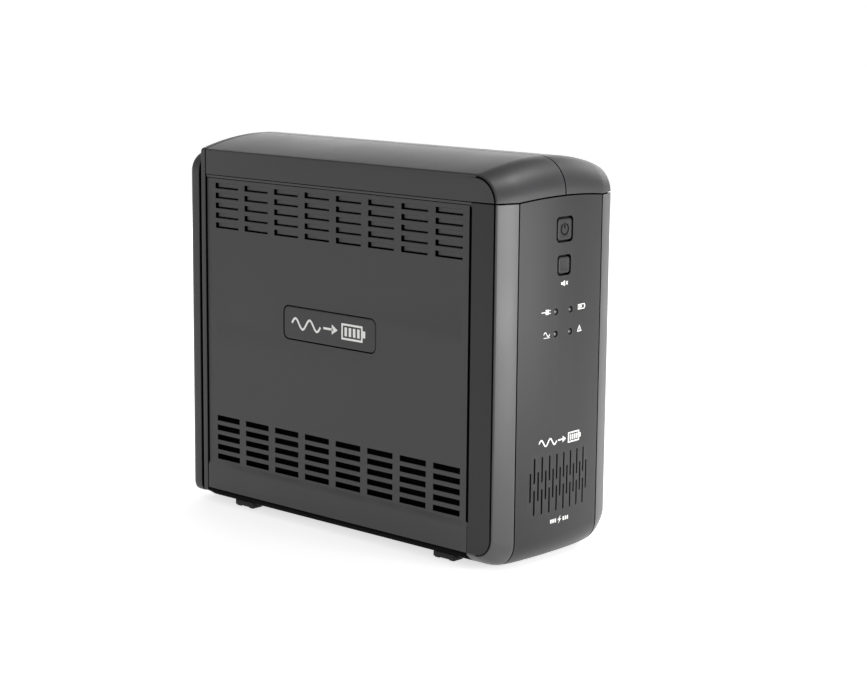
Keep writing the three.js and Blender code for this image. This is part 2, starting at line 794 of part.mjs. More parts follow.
function rearPanel() {
  const { inset, wall, rounding, topRadius, bottomRadius } = TRAY;
  const front = REAR_SEAM_Y + GAP / 2;
  const slice = box(-FAR, FAR, front, FAR, -FAR, FAR);
  const outer = rearOutline(inset, topRadius, bottomRadius);
  const inner = rearOutline(inset + wall, topRadius - PAST, bottomRadius - PAST);
  const shape = alongY(outer, front - rounding - PAST, REAR_Y, { bevel: rounding, curveSegments: 5 });
  const raised = toSolid(shape);
  const hollow = toSolid(alongY(inner, front - TRAY_REACH, REAR_Y - wall, { curveSegments: 3 }));
  const tray = cut(raised.intersect(slice), hollow);
  const rim = SKIN.intersect(slice);
  const breakerHole = BREAKER.radius + BREAKER.collar + GAP;
  return cut(
    join(rim, tray),
    ...outletPlaces().map(([x, z]) => rearWindow({ ...OUTLET, x, z })),
    rearWindow(INLET),
    rearWindow(USB),
    rearWindow(JACKS),
    cylinder("y", breakerHole, [BREAKER.x, BREAKER.z], REAR_Y - REAR_CUT, REAR_Y + PAST, 20),
    ...rearSlots(),
  );
}

// Receptacle with two blade slots and an earth hole, turned on its side.
function outlet([x, z]) {
  const rear = REAR_Y - OUTLET.recess;
  const outline = roundedRect(x, z, OUTLET.width, OUTLET.height, OUTLET.radius);
  const insert = toSolid(alongY(outline, rear - OUTLET.depth, rear, { curveSegments: 1 }));
  const slotEnd = rear - OUTLET.slotDepth;
  const { bladeX, neutral, live, bladeNear, bladeFar } = OUTLET;
  const middle = x + bladeX;
  return cut(
    insert,
    box(middle - neutral, middle + neutral, slotEnd, REAR_Y, z - bladeFar, z - bladeNear),
    box(middle - live, middle + live, slotEnd, REAR_Y, z + bladeNear, z + bladeFar),
    cylinder("y", OUTLET.earth, [x + OUTLET.earthX, z], slotEnd, REAR_Y, 10),
  );
}

function inletOutline() {
  const w = INLET.width / 2 - INLET.wall;
  const h = INLET.height / 2 - INLET.wall;
  const { x, z, corner } = INLET;
  return polygon([
    [x - w, z - h],
    [x + w, z - h],
    [x + w, z + h - corner],
    [x + w - corner, z + h],
    [x - w + corner, z + h],
    [x - w, z + h - corner],
  ]);
}

function inletHousing() {
  const rear = REAR_Y - INLET.recess;
  const outline = roundedRect(INLET.x, INLET.z, INLET.width, INLET.height, INLET.radius);
  const outer = toSolid(alongY(outline, rear - INLET.depth, rear));
  const cavity = toSolid(alongY(inletOutline(), rear - INLET.cavity, rear + PAST));
  const w = PIN.width / 2 + GAP;
  const h = PIN.height / 2 + GAP;
  const pinHoles = inletPins().map(([x, z]) => box(x - w, x + w, -FAR, rear, z - h, z + h));
  return cut(outer, cavity, ...pinHoles);
}

function inletPins() {
  return PIN.places.map(([dx, dz]) => [INLET.x + dx, INLET.z + dz]);
}

function inletPin([x, z]) {
  const w = PIN.width / 2;
  const h = PIN.height / 2;
  return box(x - w, x + w, REAR_Y - PIN.root, REAR_Y - PIN.tip, z - h, z + h);
}

function breakerCollar() {
  const place = [BREAKER.x, BREAKER.z];
  const outer = BREAKER.radius + BREAKER.collar;
  const flange = cylinder("y", outer, place, REAR_Y - BREAKER.depth, REAR_Y - BREAKER.recess, 20);
  return flange.subtract(cylinder("y", BREAKER.radius + GAP, place, REAR_Y - BREAKER.well, REAR_Y, 20));
}

function breakerButton() {
  const root = REAR_Y - BREAKER.well + BREAKER.travel + SINK;
  return cylinder("y", BREAKER.radius, [BREAKER.x, BREAKER.z], root, REAR_Y - BREAKER.buttonRecess, 20);
}

function portBlock({ x, z, width, height, depth }) {
  const rear = REAR_Y - PORT_RECESS;
  return box(x - width / 2, x + width / 2, rear - depth, rear, z - height / 2, z + height / 2);
}

function usbPort() {
  const { x, z, cavity, tongue } = USB;
  const rear = REAR_Y - PORT_RECESS;
  const [cw, ch] = cavity;
  const [tw, th] = tongue;
  const hollow = box(x - cw / 2, x + cw / 2, rear - USB.cavityDepth, REAR_Y, z - ch / 2, z + ch / 2);
  const root = rear - USB.cavityDepth - SINK;
  const blade = box(x - tw / 2, x + tw / 2, root, rear - SINK, z - th / 2, z + th / 2);
  return join(portBlock(USB).subtract(hollow), blade);
}

function jackPlaces() {
  return [-JACKS.spacing / 2, JACKS.spacing / 2].map((dx) => JACKS.x + dx);
}

function networkJacks() {
  const { z, floor, roof, latchFloor, halfWidth, latchHalfWidth, cavityDepth } = JACKS;
  const end = REAR_Y - PORT_RECESS - cavityDepth;
  const cavities = jackPlaces().flatMap((x) => [
    box(x - halfWidth, x + halfWidth, end, REAR_Y, z + floor, z + roof),
    box(x - latchHalfWidth, x + latchHalfWidth, end, REAR_Y, z + latchFloor, z + floor + SINK),
  ]);
  return cut(portBlock(JACKS), ...cavities);
}

// ---------- underside ----------
function foot(side, y) {
  const { x, ribWidth, ribDepth, ribPitch, padMargin, padBottom, top } = FOOT;
  const near = x - ribWidth / 2;
  const far = x + ribWidth / 2;
  const half = (ribPitch + ribDepth) / 2 + padMargin;
  const pad = sideBox(side, near - padMargin, far + padMargin, y - half, y + half, padBottom, top);
  const ribs = [-1, 1].map((end) => {
    const middle = y + (end * ribPitch) / 2;
    return sideBox(side, near, far, middle - ribDepth / 2, middle + ribDepth / 2, 0, top);
  });
  return join(pad, ...ribs).subtract(OUTER.translate(0, 0, -GAP));
}

function batteryDoor() {
  const slab = box(-DOOR.halfWidth, DOOR.halfWidth, DOOR.front, DOOR.rear, -FAR, DOOR.top);
  const grips = range(GRIP.count).map((row) => {
    const y = DOOR.rear - GRIP.margin - GRIP.pitch * row;
    return box(-GRIP.halfLength, GRIP.halfLength, y - GRIP.width / 2, y + GRIP.width / 2, -FAR, GRIP.top);
  });
  return cut(slab.intersect(OUTER), ...grips);
}

// ---------- battery and transformer ----------
function batteryCase() {
  const { halfWidth, front, rear, bottom, height, radius, lid, lidInset } = BATTERY;
  const middle = (front + rear) / 2;
  const length = rear - front;
  const outline = roundedRect(0, middle, 2 * halfWidth, length, radius);
  const smaller = roundedRect(0, middle, 2 * (halfWidth - lidInset), length - 2 * lidInset, radius);
  const lidBottom = bottom + height - lid;
  const tub = toSolid(alongZ(outline, bottom, lidBottom));
  return join(tub, toSolid(alongZ(smaller, lidBottom - SINK, bottom + height)));
}

function batteryTerminal(side) {
  const { foot, footThickness, tabWidth, tabThickness, tabTop } = TERMINAL;
  const x = side * TERMINAL.x;
  const top = BATTERY.bottom + BATTERY.height;
  const y = BATTERY.front + TERMINAL.setBack;
  const plate = box(x - foot / 2, x + foot / 2, y - foot / 2, y + foot / 2, top + GAP, top + footThickness);
  const low = top + footThickness - GAP / 2;
  const tab = box(
    x - tabWidth / 2,
    x + tabWidth / 2,
    y - tabThickness / 2,
    y + tabThickness / 2,
    low,
    top + tabTop,
  );
  return join(plate, tab);
}

function componentShelf() {
  const { bottom, top, halfWidth, front, rear, tabs, tabLength, tabTop } = SHELF;
  const plate = box(-halfWidth, halfWidth, front, rear, bottom, top);
  const near = MAIN_BOARD.x + MAIN_BOARD.thickness + GAP;
  const far = near + top - bottom;
  return join(plate, ...tabs.map((y) => box(near, far, y, y + tabLength, bottom, tabTop)));
}

function transformerCore() {
  const { halfWidth, bottom, height, y, stack, leg } = CORE;
  const body = box(-halfWidth, halfWidth, y - stack / 2, y + stack / 2, bottom, bottom + height);
  const windows = [-1, 1].map((side) =>
    sideBox(side, leg, 2 * leg, y - stack, y + stack, bottom + leg, bottom + height - leg),
  );
  return cut(body, ...windows);
}

function transformerCoil() {
  const { bottom, height, y, stack, leg, overhang, coilRadius } = CORE;
  const slack = CORE.clear;
  const outer = roundedRect(0, y, 4 * leg - 2 * slack, stack + 2 * overhang, coilRadius);
  const low = bottom + leg + slack;
  const high = bottom + height - leg - slack;
  const x = leg + slack;
  const hole = box(-x, x, y - stack / 2 - slack, y + stack / 2 + slack, low - PAST, high + PAST);
  return toSolid(alongZ(outer, low, high)).subtract(hole);
}

function transformerBracket() {
  const { halfWidth, bottom, height, y, clear } = CORE;
  const { thickness, foot: flange, width } = BRACKET;
  const inner = halfWidth + clear;
  const outer = inner + thickness;
  const high = bottom + height + clear;
  const foot = outer + flange;
  const outline = polygon([
    [-foot, bottom],
    [-inner, bottom],
    [-inner, high],
    [inner, high],
    [inner, bottom],
    [foot, bottom],
    [foot, bottom + thickness],
    [outer, bottom + thickness],
    [outer, high + thickness],
    [-outer, high + thickness],
    [-outer, bottom + thickness],
    [-foot, bottom + thickness],
  ]);
  return toSolid(alongY(outline, y - width / 2, y + width / 2));
}

// ---------- main board ----------
function mainBoard() {
  const { x, thickness, front, rear, bottom, top } = MAIN_BOARD;
  return box(x, x + thickness, front, rear, bottom, top);
}

function heatSink([y, z]) {
  const { reach, base, height, fins, pitch, fin, depth } = HEAT_SINK;
  const plate = box(BOARD_FACE - reach, BOARD_FACE, y, y + base, z, z + height);
  const blades = range(fins).map((index) => {
    const x = BOARD_FACE - reach + pitch * index;
    return box(x, x + fin, y, y + depth, z, z + height);
  });
  return join(plate, ...blades);
}

function relay([y, z]) {
  const outline = roundedRect(y, z, RELAY.width, RELAY.height, RELAY.radius);
  return toSolid(alongX(outline, BOARD_FACE - RELAY.depth, BOARD_FACE, { curveSegments: 1 }));
}

function capacitor(place) {
  const end = BOARD_FACE - CAPACITOR.length;
  const can = cylinder("x", CAPACITOR.radius, place, end, BOARD_FACE, 20);
  return can.subtract(cylinder("x", CAPACITOR.dimple, place, end - PAST, end + CAPACITOR.dimpleDepth, 20));
}

function fuse([y, z]) {
  const { length, halfHeight, depth, holder, margin } = FUSE;
  const far = y + length;
  const body = box(BOARD_FACE - depth, BOARD_FACE, y, far, z - halfHeight, z + halfHeight);
  const z0 = z - halfHeight - margin;
  const z1 = z + halfHeight + margin;
  return join(body, box(BOARD_FACE - holder, BOARD_FACE, y - margin, far + margin, z0, z1));
}

// ---------- leads ----------
// A round lead along straight runs, mitred where they meet.
function lead(points, radius) {
  const path = points.map((point) => new THREE.Vector3(...point));
  const runs = path.slice(1).map((point, index) => point.clone().sub(path[index]).normalize());
  const upright = new THREE.Vector3(0, 0, 1);
  const start = new THREE.Quaternion().setFromUnitVectors(upright, runs[0]);
  const rings = [
    range(LEAD_SIDES).map((step) => {
      const angle = (2 * Math.PI * step) / LEAD_SIDES;
      const spoke = new THREE.Vector3(Math.cos(angle), Math.sin(angle), 0).multiplyScalar(radius);
      return spoke.applyQuaternion(start).add(path[0]);
    }),
  ];
  for (const [index, run] of runs.entries()) {
    const next = runs[index + 1] ?? run;
    const mitre = new THREE.Plane().setFromNormalAndCoplanarPoint(
      run.clone().add(next).normalize(),
      path[index + 1],
    );
    rings.push(
      rings[index].map((corner) => {
        const along = -mitre.distanceToPoint(corner) / mitre.normal.dot(run);
        return corner.clone().addScaledVector(run, along);
      }),
    );
  }
  const corners = rings.flat();
  const faces = range(runs.length).flatMap((ring) =>
    range(LEAD_SIDES).flatMap((step) => {
      const a = ring * LEAD_SIDES + step;
      const b = ring * LEAD_SIDES + ((step + 1) % LEAD_SIDES);
      return [a, b, b + LEAD_SIDES, a, b + LEAD_SIDES, a + LEAD_SIDES];
    }),
  );
  const last = runs.length * LEAD_SIDES;
  for (const step of range(LEAD_SIDES).slice(2)) {
    faces.push(0, step, step - 1, last, last + step - 1, last + step);
  }
  const geometry = new THREE.BufferGeometry().setFromPoints(corners);
  geometry.setIndex(faces);
  return toSolid(geometry);
}

// Rises from its terminal and bends over towards the main board.
function batteryLead(side) {
  const x = side * TERMINAL.x;
  const y = BATTERY.front + TERMINAL.setBack;
  const z = BATTERY.bottom + BATTERY.height + TERMINAL.tabTop + GAP;
  const high = BATTERY_LEAD.height + (side < 0 ? BATTERY_LEAD.step : 0);
  const { bend } = BATTERY_LEAD;
  const slack = bend * (1 - Math.SQRT1_2);
  return lead(
    [
      [x, y, z],
      [x, y, high - bend],
      [x + slack, y, high - slack],
      [x + bend, y, high],
      [BOARD_FACE - GAP, y, high],
    ],
    BATTERY_LEAD.radius,
  );
}

function signalLead() {
  const y = CONTROL_BOARD.y + CONTROL_BOARD.thickness + GAP;
  const end = BOARD_FACE - GAP;
  return lead(
    [
      [8, y, 136],
      [8, y + 6, 136],
      [16, y + 14, 140],
      [24, y + 26, 147],
      [end - 4, y + 30, 148],
      [end, y + 30, 148],
    ],
    SIGNAL_LEAD_RADIUS,
  );
}

// ---------- assembly ----------
const group = new THREE.Group();

function add(name, solid, material) {
  const mesh = solid.getMesh();
  const geometry = new THREE.BufferGeometry();
  geometry.setAttribute("position", new THREE.BufferAttribute(mesh.vertProperties, 3));
  geometry.setIndex(new THREE.BufferAttribute(mesh.triVerts, 1));
  geometry.computeVertexNormals();
  const part = new THREE.Mesh(geometry, material);
  part.name = name;
  group.add(part);
}

add("left_shell", halfShell(-1), CHARCOAL);
add("right_shell", halfShell(1), CHARCOAL);
add("front_bezel", frontBezel(), CHARCOAL);
add("front_panel", frontPanel(), FASCIA);
add("rear_panel", rearPanel(), CHARCOAL);
add("battery_door", batteryDoor(), CHARCOAL);
add("badge_left", badge(-1), BLACK);
add("badge_right", badge(1), BLACK);
for (const [side, sideName] of [[-1, "left"], [1, "right"]]) {
  add("foot_front_" + sideName, foot(side, FOOT_FRONT_Y), RUBBER);
  add("foot_rear_" + sideName, foot(side, FOOT_REAR_Y), RUBBER);
}
SCREWS.forEach((place, index) => add("case_screw_" + (index + 1), screw(place), STEEL));

add("power_button", frontButton(POWER_BUTTON), FASCIA);
add("mute_button", frontButton(MUTE_BUTTON), FASCIA);
const LED_NAMES = ["led_online", "led_battery", "led_regulation", "led_overload"];
ledPlaces().forEach((place, index) => add(LED_NAMES[index], ledLens(place), LENS));
add("control_board", controlBoard(), BOARD);
add("power_switch", tactSwitch(POWER_BUTTON), BLACK);
add("mute_switch", tactSwitch(MUTE_BUTTON), BLACK);
add("buzzer", buzzer(), BLACK);

outletPlaces().forEach((place, index) => add("outlet_" + (index + 1), outlet(place), BLACK));
add("inlet_housing", inletHousing(), BLACK);
inletPins().forEach((place, index) => add("inlet_pin_" + (index + 1), inletPin(place), BRASS));
add("breaker_collar", breakerCollar(), BLACK);
add("breaker_button", breakerButton(), BLACK);
add("usb_port", usbPort(), STEEL);
add("network_jacks", networkJacks(), BLACK);

add("battery_case", batteryCase(), BLACK);
add("battery_terminal_positive", batteryTerminal(-1), BRASS);
add("battery_terminal_negative", batteryTerminal(1), BRASS);
add("component_shelf", componentShelf(), STEEL);
add("transformer_core", transformerCore(), STEEL);
add("transformer_coil", transformerCoil(), COPPER_WINDING);
add("transformer_bracket", transformerBracket(), STEEL);
add("main_board", mainBoard(), BOARD);
HEAT_SINKS.forEach((place, index) => add("heat_sink_" + (index + 1), heatSink(place), ALUMINIUM));
RELAYS.forEach((place, index) => add("relay_" + (index + 1), relay(place), BLACK));
CAPACITORS.forEach((place, index) => add("capacitor_" + (index + 1), capacitor(place), BLACK));
add("fuse", fuse(FUSE_PLACE), BRASS);
add("battery_lead_positive", batteryLead(-1), RED);
add("battery_lead_negative", batteryLead(1), BLACK);
add("signal_lead", signalLead(), RUBBER);

export default group;
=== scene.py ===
"""Looks of a tower uninterruptible power supply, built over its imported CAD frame.

Lengths are in millimetres until a mesh is made. +Z up, front towards -Y, "left" is the -X side.
"""

import math

import bmesh
import bpy
from mathutils import Matrix, Vector


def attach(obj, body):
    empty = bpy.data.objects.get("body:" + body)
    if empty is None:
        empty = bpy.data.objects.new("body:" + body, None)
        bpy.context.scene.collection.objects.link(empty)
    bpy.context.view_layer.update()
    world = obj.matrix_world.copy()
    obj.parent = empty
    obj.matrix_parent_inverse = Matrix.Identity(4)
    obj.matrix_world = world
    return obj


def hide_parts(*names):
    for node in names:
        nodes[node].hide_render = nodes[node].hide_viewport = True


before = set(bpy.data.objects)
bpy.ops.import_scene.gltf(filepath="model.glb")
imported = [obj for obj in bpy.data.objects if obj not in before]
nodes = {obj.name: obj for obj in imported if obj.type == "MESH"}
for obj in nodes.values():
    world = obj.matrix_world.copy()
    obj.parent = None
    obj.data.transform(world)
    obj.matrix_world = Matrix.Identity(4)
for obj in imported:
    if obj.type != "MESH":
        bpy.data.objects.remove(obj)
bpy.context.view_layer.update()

MM = 0.001
SHARP = 50                 # an edge is rounded from this many degrees

# ---------- driving dimensions, the CAD's unless a note says otherwise ----------
HALF_WIDTH = 50
SIDE_BOTTOM, SIDE_TOP = 8.6, 221.5
CROWN_RISE, BELLY_DROP, BELLY_POWER = 7.7, 7.3, 8
FRONT_Y, FRONT_BOW = -122.1, 7.3
STRIP_X, STRIP_BOW = 36.4, 4.7
REAR_SEAM_Y, RIM_REAR_Y, REAR_Y = 112.5, 117.3, 129.4
TOP_RADIUS, BOTTOM_RADIUS = 15.5, 12
WARP_REACH = 30            # the bow, crown and belly fade out over this distance
WARP_END_Y = FRONT_Y + WARP_REACH
GAP = 0.3
WALL = 0.8                 # thickness the visible skins are given
SEAM_Z, SEAM_ARCH = 206.25, 2.1
GROOVE_Y, GROOVE_CORNER = -103.6, 0.75
GROOVE_VISIBLE = 1.7       # width of the groove on the panel's side; the wing ahead of it hides a part
PANEL_TOP, PANEL_BOTTOM, PANEL_DEPTH, PANEL_CHAMFER = 206.4, 24.2, 1, 2.5
VENT_COLUMNS, VENT_ROWS = 8, 5
VENT_REAR_Y, VENT_PITCH_Y, VENT_LENGTH, VENT_HEIGHT = 104.5, 25.92, 20.14, 3.3
LOWER_VENT_TOP, LOWER_VENT_PITCH = 56.7, 6.1
UPPER_VENT_BOTTOM, UPPER_VENT_PITCH = 198.1, 6.05
LOUVRE_DEPTH, LOUVRE_GAP, LOUVRE_NOTCH = 1.6, 0.7, 0.8      # shallower than the CAD's
BADGE_Y, BADGE_Z, BADGE_WIDTH, BADGE_HEIGHT, BADGE_RADIUS = 6.65, 122.85, 76, 20, 4
BADGE_POCKET = 1
POWER = (189.6, 14, 13.8, 2.2)      # middle's z, width, height, corner radius
MUTE = (169.6, 11.4, 11, 2)
BUTTON_PLAY = 0.95         # the caps are this much smaller all round
CAP_HOLLOW = 0.24          # depth of the caps' dished middle
STEM_END_Y = -119.7        # the buttons' stems end here, at their switches
LED_X, LED_ROWS, LED_RADIUS = 6.45, (144, 131.5), 1.7
GRILLE_Z, GRILLE_PITCH, GRILLE_SLOT = 46.35, 6.2, 1.3
GRILLE_TALL, GRILLE_BRIDGE, GRILLE_MIDDLE = 33.3, 3.4, 17
FASCIA_END_Y = -111.2
FASCIA_ROW_Z = (66, 30, 27)         # plain rows above and below the grille
STRIP_ROW_Z = (180, 120, 60, 40, 32)
FASCIA_INSET = 0.12        # the fascia sits this far behind the strips, so that its marks stay flush
CHANNEL_HALF, CHANNEL_FRONT, CHANNEL_REAR, CHANNEL_TOP = 34.6, -96.3, 106.5, 4.6
OUTLET = (30, 22, 3)       # width, height, corner radius
OUTLET_X, OUTLET_ROWS = 20, (178, 152, 126, 100)
INLET, USB, JACKS = (20, 66, 28, 20), (-24, 36, 12, 11), (17, 36, 34, 14)      # x, z, width, height
BREAKER_X, BREAKER_Z, BREAKER_COLLAR = -20, 66, 7.5
REAR_SLOT, REAR_SLOT_Z = (60, 2, 0.9), (198, 203, 208, 213)
RIM_ROUND, RIM_CORNER = 1.4, 1.6
TRAY_ROUND, TRAY_INSET, TRAY_JOINT = 4, 1.5, 3
TRAY_CORNERS = (14, 6)     # at the top and at the bottom
TRAY_DROP = 3.4            # how far the tray's top is lowered against the CAD's
SCREW_PLACES = ((-96, 213), (92, 213), (-97, 15), (73, 15))      # y, z
SCREW_HOLE, SCREW_CUP, SCREW_SEAT_X = 3.6, 4.3, 46

# ---------- finer lines that only the looks have ----------
EDGE = 0.7                 # rounding along the side faces' edges
UNDER_EDGE = 0.5           # how much of it is left along the lower edge
UNDER_LINE_X = 43          # the underside is dark from here out, which gives the shadow line under the case
LINE = ((0, 0.1), (0.5, 0.2), (0.5, 1.2), (0, 1.3))   # dark line inside it, a shallow groove painted with shade: depth, inset
SEAM = 0.8                 # width the joints round the cap show
LEDGE = ((0.45, 0.05), (0.45, 0.5), (0.3, 0.6), (0.55, 1.75), (0.95, 1.85), (0.95, 2.3))   # depth, drop
PLAY = 0.3                 # the badge plates are this much smaller all round
LINER = 0.8                # thickness of the dark liners behind the joints, sheets of painted shade
VENT_LINER_X = (42.6, 43.8)
VENT_PLATE = 1.2           # thickness of the plates in the upper vents
INK_LIFT = 0.08            # how far the printed marks stand up


# ---------- the case's form ----------
def crown(x):
    return CROWN_RISE * (1 - (x / HALF_WIDTH) ** 2)


def belly(x):
    return BELLY_DROP * (1 - (x / HALF_WIDTH) ** BELLY_POWER)


def bow(x):
    reach = abs(x)
    if reach < STRIP_X:
        return FRONT_BOW - (FRONT_BOW - STRIP_BOW) * (reach / STRIP_X) ** 2
    along = min(1, (reach - STRIP_X) / (HALF_WIDTH - STRIP_X))
    return STRIP_BOW * (1 - along ** 1.2)


def fade(distance):
    return min(1, max(0, distance / WARP_REACH))


def swell(x, y, z):
    up = crown(x) * fade(z - SIDE_TOP + WARP_REACH)
    down = belly(x) * fade(SIDE_BOTTOM + WARP_REACH - z)
    return x, y - bow(x) * fade(FRONT_Y + WARP_REACH - y), z + up - down


def arch(x):
    return SEAM_ARCH * (1 - (x / STRIP_X) ** 2) if abs(x) < STRIP_X else 0


def seam_height(x, lift):
    """Height in the plain section that the swelling takes to the arched joint under the cap."""
    rise = crown(x) / WARP_REACH
    return (SEAM_Z + lift + arch(x) + rise * (SIDE_TOP - WARP_REACH)) / (1 + rise)


def spread(start, end, count):
    return [start + (end - start) * i / count for i in range(count + 1)]


QUARTER = spread(0, math.pi / 2, 4)      # the angles of a rounded edge


def side_name(side):
    return "left" if side < 0 else "right"


# ---------- meshes ----------
class Faces:
    """Faces by their corner points; points less than a micron apart are one vertex."""

    def __init__(self):
        self.index, self.points, self.polygons, self.slots = {}, [], [], []

    def vertex(self, point):
        key = tuple(round(c, 3) + 0.0 for c in point)
        if key not in self.index:
            self.index[key] = len(self.points)
            self.points.append(Vector(point) * MM)
        return self.index[key]

    def add(self, *points, slot=0):
        ids = []
        for i in map(self.vertex, points):
            if not ids or ids[-1] != i:
                ids.append(i)
        if ids[0] == ids[-1]:
            ids.pop()
        if len(set(ids)) > 2:
            self.polygons.append(ids)
            self.slots.append(slot)

    def grid(self, rows, closed=False, slot=0, dark=None):
        """Rows of points joined by quads; dark(row, column) says which ones take the second material, the
        painted shade.
        """
        for k, (low, high) in enumerate(zip(rows, rows[1:])):
            count = len(low) if closed else len(low) - 1
            for i in range(count):
                j = (i + 1) % len(low)
                shade_slot = 1 if dark and dark(k, i) else slot
                self.add(low[i], low[j], high[j], high[i], slot=shade_slot)

    def tube(self, rings):
        """Rings joined into a closed body, with a face at each end."""
        self.grid(rings, closed=True)
        self.add(*rings[0][::-1])
        self.add(*rings[-1])

    def box(self, x0, x1, y0, y1, z0, z1):
        low = [(x0, y0, z0), (x1, y0, z0), (x1, y1, z0), (x0, y1, z0)]
        self.tube([low, [(x, y, z1) for x, y, _ in low]])

    def prism(self, loop, low, high):
        """A closed outline of (u, v) pushed through `low` and `high`, two functions to 3-D."""
        self.tube([[low(u, v) for u, v in loop], [high(u, v) for u, v in loop]])


def rounded(u, v, width, height, radius, steps=6):
    loop = []
    for corner, (su, sv) in enumerate([(1, 1), (-1, 1), (-1, -1), (1, -1)]):
        cu, cv = u + su * (width / 2 - radius), v + sv * (height / 2 - radius)
        for i in range(steps + 1):
            angle = math.pi / 2 * (corner + i / steps)
            loop.append((cu + radius * math.cos(angle), cv + radius * math.sin(angle)))
    return loop


def circle(u, v, radius, steps=32):
    turn = 2 * math.pi / steps
    return [(u + radius * math.cos(turn * i), v + radius * math.sin(turn * i)) for i in range(steps)]


def new_object(name, faces, materials):
    mesh = bpy.data.meshes.new(name)
    mesh.from_pydata(faces.points, [], faces.polygons)
    bm = bmesh.new()
    bm.from_mesh(mesh)
    for face, slot in zip(bm.faces, faces.slots):
        face.material_index = slot
        face.smooth = True
    bmesh.ops.remove_doubles(bm, verts=bm.verts, dist=2e-6)
    bmesh.ops.recalc_face_normals(bm, faces=bm.faces)
    bm.to_mesh(mesh)
    bm.free()
    obj = bpy.data.objects.new(name, mesh)
    bpy.context.scene.collection.objects.link(obj)
    for material in materials:
        mesh.materials.append(material)
    return obj


def bake(obj):
    """Applies the object's modifiers."""
    bpy.context.view_layer.update()
    graph = bpy.context.evaluated_depsgraph_get()
    mesh = bpy.data.meshes.new_from_object(obj.evaluated_get(graph), depsgraph=graph)
    obj.modifiers.clear()
    obj.data = mesh


def thicken(obj, thickness=WALL, rim=0):
    solid = obj.modifiers.new("Wall", "SOLIDIFY")
    solid.thickness = thickness * MM
    solid.offset = -1
    solid.use_even_offset = True
    # With rim=1 the skins' cut edges (joints, vent and hole cheeks) take the next slot, the painted shade.
    solid.material_offset_rim = rim


def add_bevel(obj, width, method):
    bevel = obj.modifiers.new("Edges", "BEVEL")
    bevel.width = width * MM
    bevel.segments = 2
    bevel.limit_method = method
    bevel.use_clamp_overlap = False
    return bevel


def soften(obj, width, angle=SHARP):
    add_bevel(obj, width, "ANGLE").angle_limit = math.radians(angle)
    shade(obj)


def soften_skin(obj, width):
    """Bakes a skin and rounds its edges, apart from those too short for the rounding."""
    bake(obj)
    bm = bmesh.new()
    bm.from_mesh(obj.data)
    weight = bm.edges.layers.float.new("bevel_weight_edge")
    shortest = 3 * width * MM
    for edge in bm.edges:
        if len(edge.link_faces) != 2 or edge.calc_face_angle() < math.radians(SHARP):
            continue
        near = [other for vertex in edge.verts for other in vertex.link_edges]
        if edge.calc_length() > shortest and min(other.calc_length() for other in near) > width * MM:
            edge[weight] = 1
    bm.to_mesh(obj.data)
    bm.free()
    add_bevel(obj, width, "WEIGHT")
    shade(obj)


def shade(obj):
    normals = obj.modifiers.new("Normals", "WEIGHTED_NORMAL")
    normals.keep_sharp = True
    normals.weight = 80


def punch(obj, cutters):
    tool = new_object("tool", cutters, [])
    cut = obj.modifiers.new("Openings", "BOOLEAN")
    cut.operation = "DIFFERENCE"
    cut.solver = "MANIFOLD"
    cut.object = tool
    bake(obj)
    bpy.data.objects.remove(tool)


def place(obj, body, slot, *replaced):
    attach(obj, body)
    if replaced:
        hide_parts(*replaced)
    return obj


# ---------- materials ----------
def mix(base, factor):
    return tuple(min(1, c * factor) for c in base) + (1,)


def surface(name, base, roughness=0.5, grain=0.35, size=1.0, spread_by=0.12, metallic=0.0,
            wear=0.0, specular=0.5, coat=0.0):
    """Moulded or metal surface: `size` is the grain in mm, `wear` lightens the edges."""
    material = bpy.data.materials.new(name)
    material.use_nodes = True
    tree = material.node_tree
    shader = tree.nodes["Principled BSDF"]
    shader.inputs["Metallic"].default_value = metallic
    shader.inputs["Specular IOR Level"].default_value = specular
    shader.inputs["Coat Weight"].default_value = coat

    def node(kind, **inputs):
        made = tree.nodes.new(kind)
        for key, value in inputs.items():
            made.inputs[key.replace("_", " ")].default_value = value
        return made

    where = node("ShaderNodeTexCoord")

    def noise(scale, detail):
        made = node("ShaderNodeTexNoise", Scale=scale, Detail=detail, Roughness=0.6)
        tree.links.new(where.outputs["Object"], made.inputs["Vector"])
        return made.outputs["Fac"]

    cloudy, fine = noise(28, 4), noise(1000 / size, 2)
    ramp = node("ShaderNodeValToRGB")
    ramp.color_ramp.elements[0].position, ramp.color_ramp.elements[1].position = 0.3, 0.7
    ramp.color_ramp.elements[0].color = mix(base, 1 - spread_by)
    ramp.color_ramp.elements[1].color = mix(base, 1 + spread_by)
    blend = node("ShaderNodeMath")
    blend.operation = "MULTIPLY_ADD"
    blend.inputs[1].default_value = 0.5
    half = node("ShaderNodeMath")
    half.operation = "MULTIPLY"
    half.inputs[1].default_value = 0.5
    tree.links.new(cloudy, half.inputs[0])
    tree.links.new(fine, blend.inputs[0])
    tree.links.new(half.outputs[0], blend.inputs[2])
    tree.links.new(blend.outputs[0], ramp.inputs["Fac"])
    colour = ramp.outputs["Color"]
    if wear:
        edges = node("ShaderNodeNewGeometry")
        pick = node("ShaderNodeMapRange", From_Min=0.505, From_Max=0.56, To_Min=0, To_Max=wear)
        tree.links.new(edges.outputs["Pointiness"], pick.inputs["Value"])
        worn = tree.nodes.new("ShaderNodeMix")
        worn.data_type = "RGBA"
        tree.links.new(pick.outputs["Result"], worn.inputs[0])
        tree.links.new(colour, worn.inputs[6])
        worn.inputs[7].default_value = mix(base, 2.2)
        colour = worn.outputs[2]
    tree.links.new(colour, shader.inputs["Base Color"])
    rough = node("ShaderNodeMapRange", From_Min=0.3, From_Max=0.7,
                 To_Min=max(0.03, roughness - 0.05), To_Max=roughness + 0.05)
    tree.links.new(blend.outputs[0], rough.inputs["Value"])
    tree.links.new(rough.outputs["Result"], shader.inputs["Roughness"])
    bump = node("ShaderNodeBump", Strength=grain, Distance=0.00006)
    tree.links.new(fine, bump.inputs["Height"])
    tree.links.new(bump.outputs["Normal"], shader.inputs["Normal"])
    return material


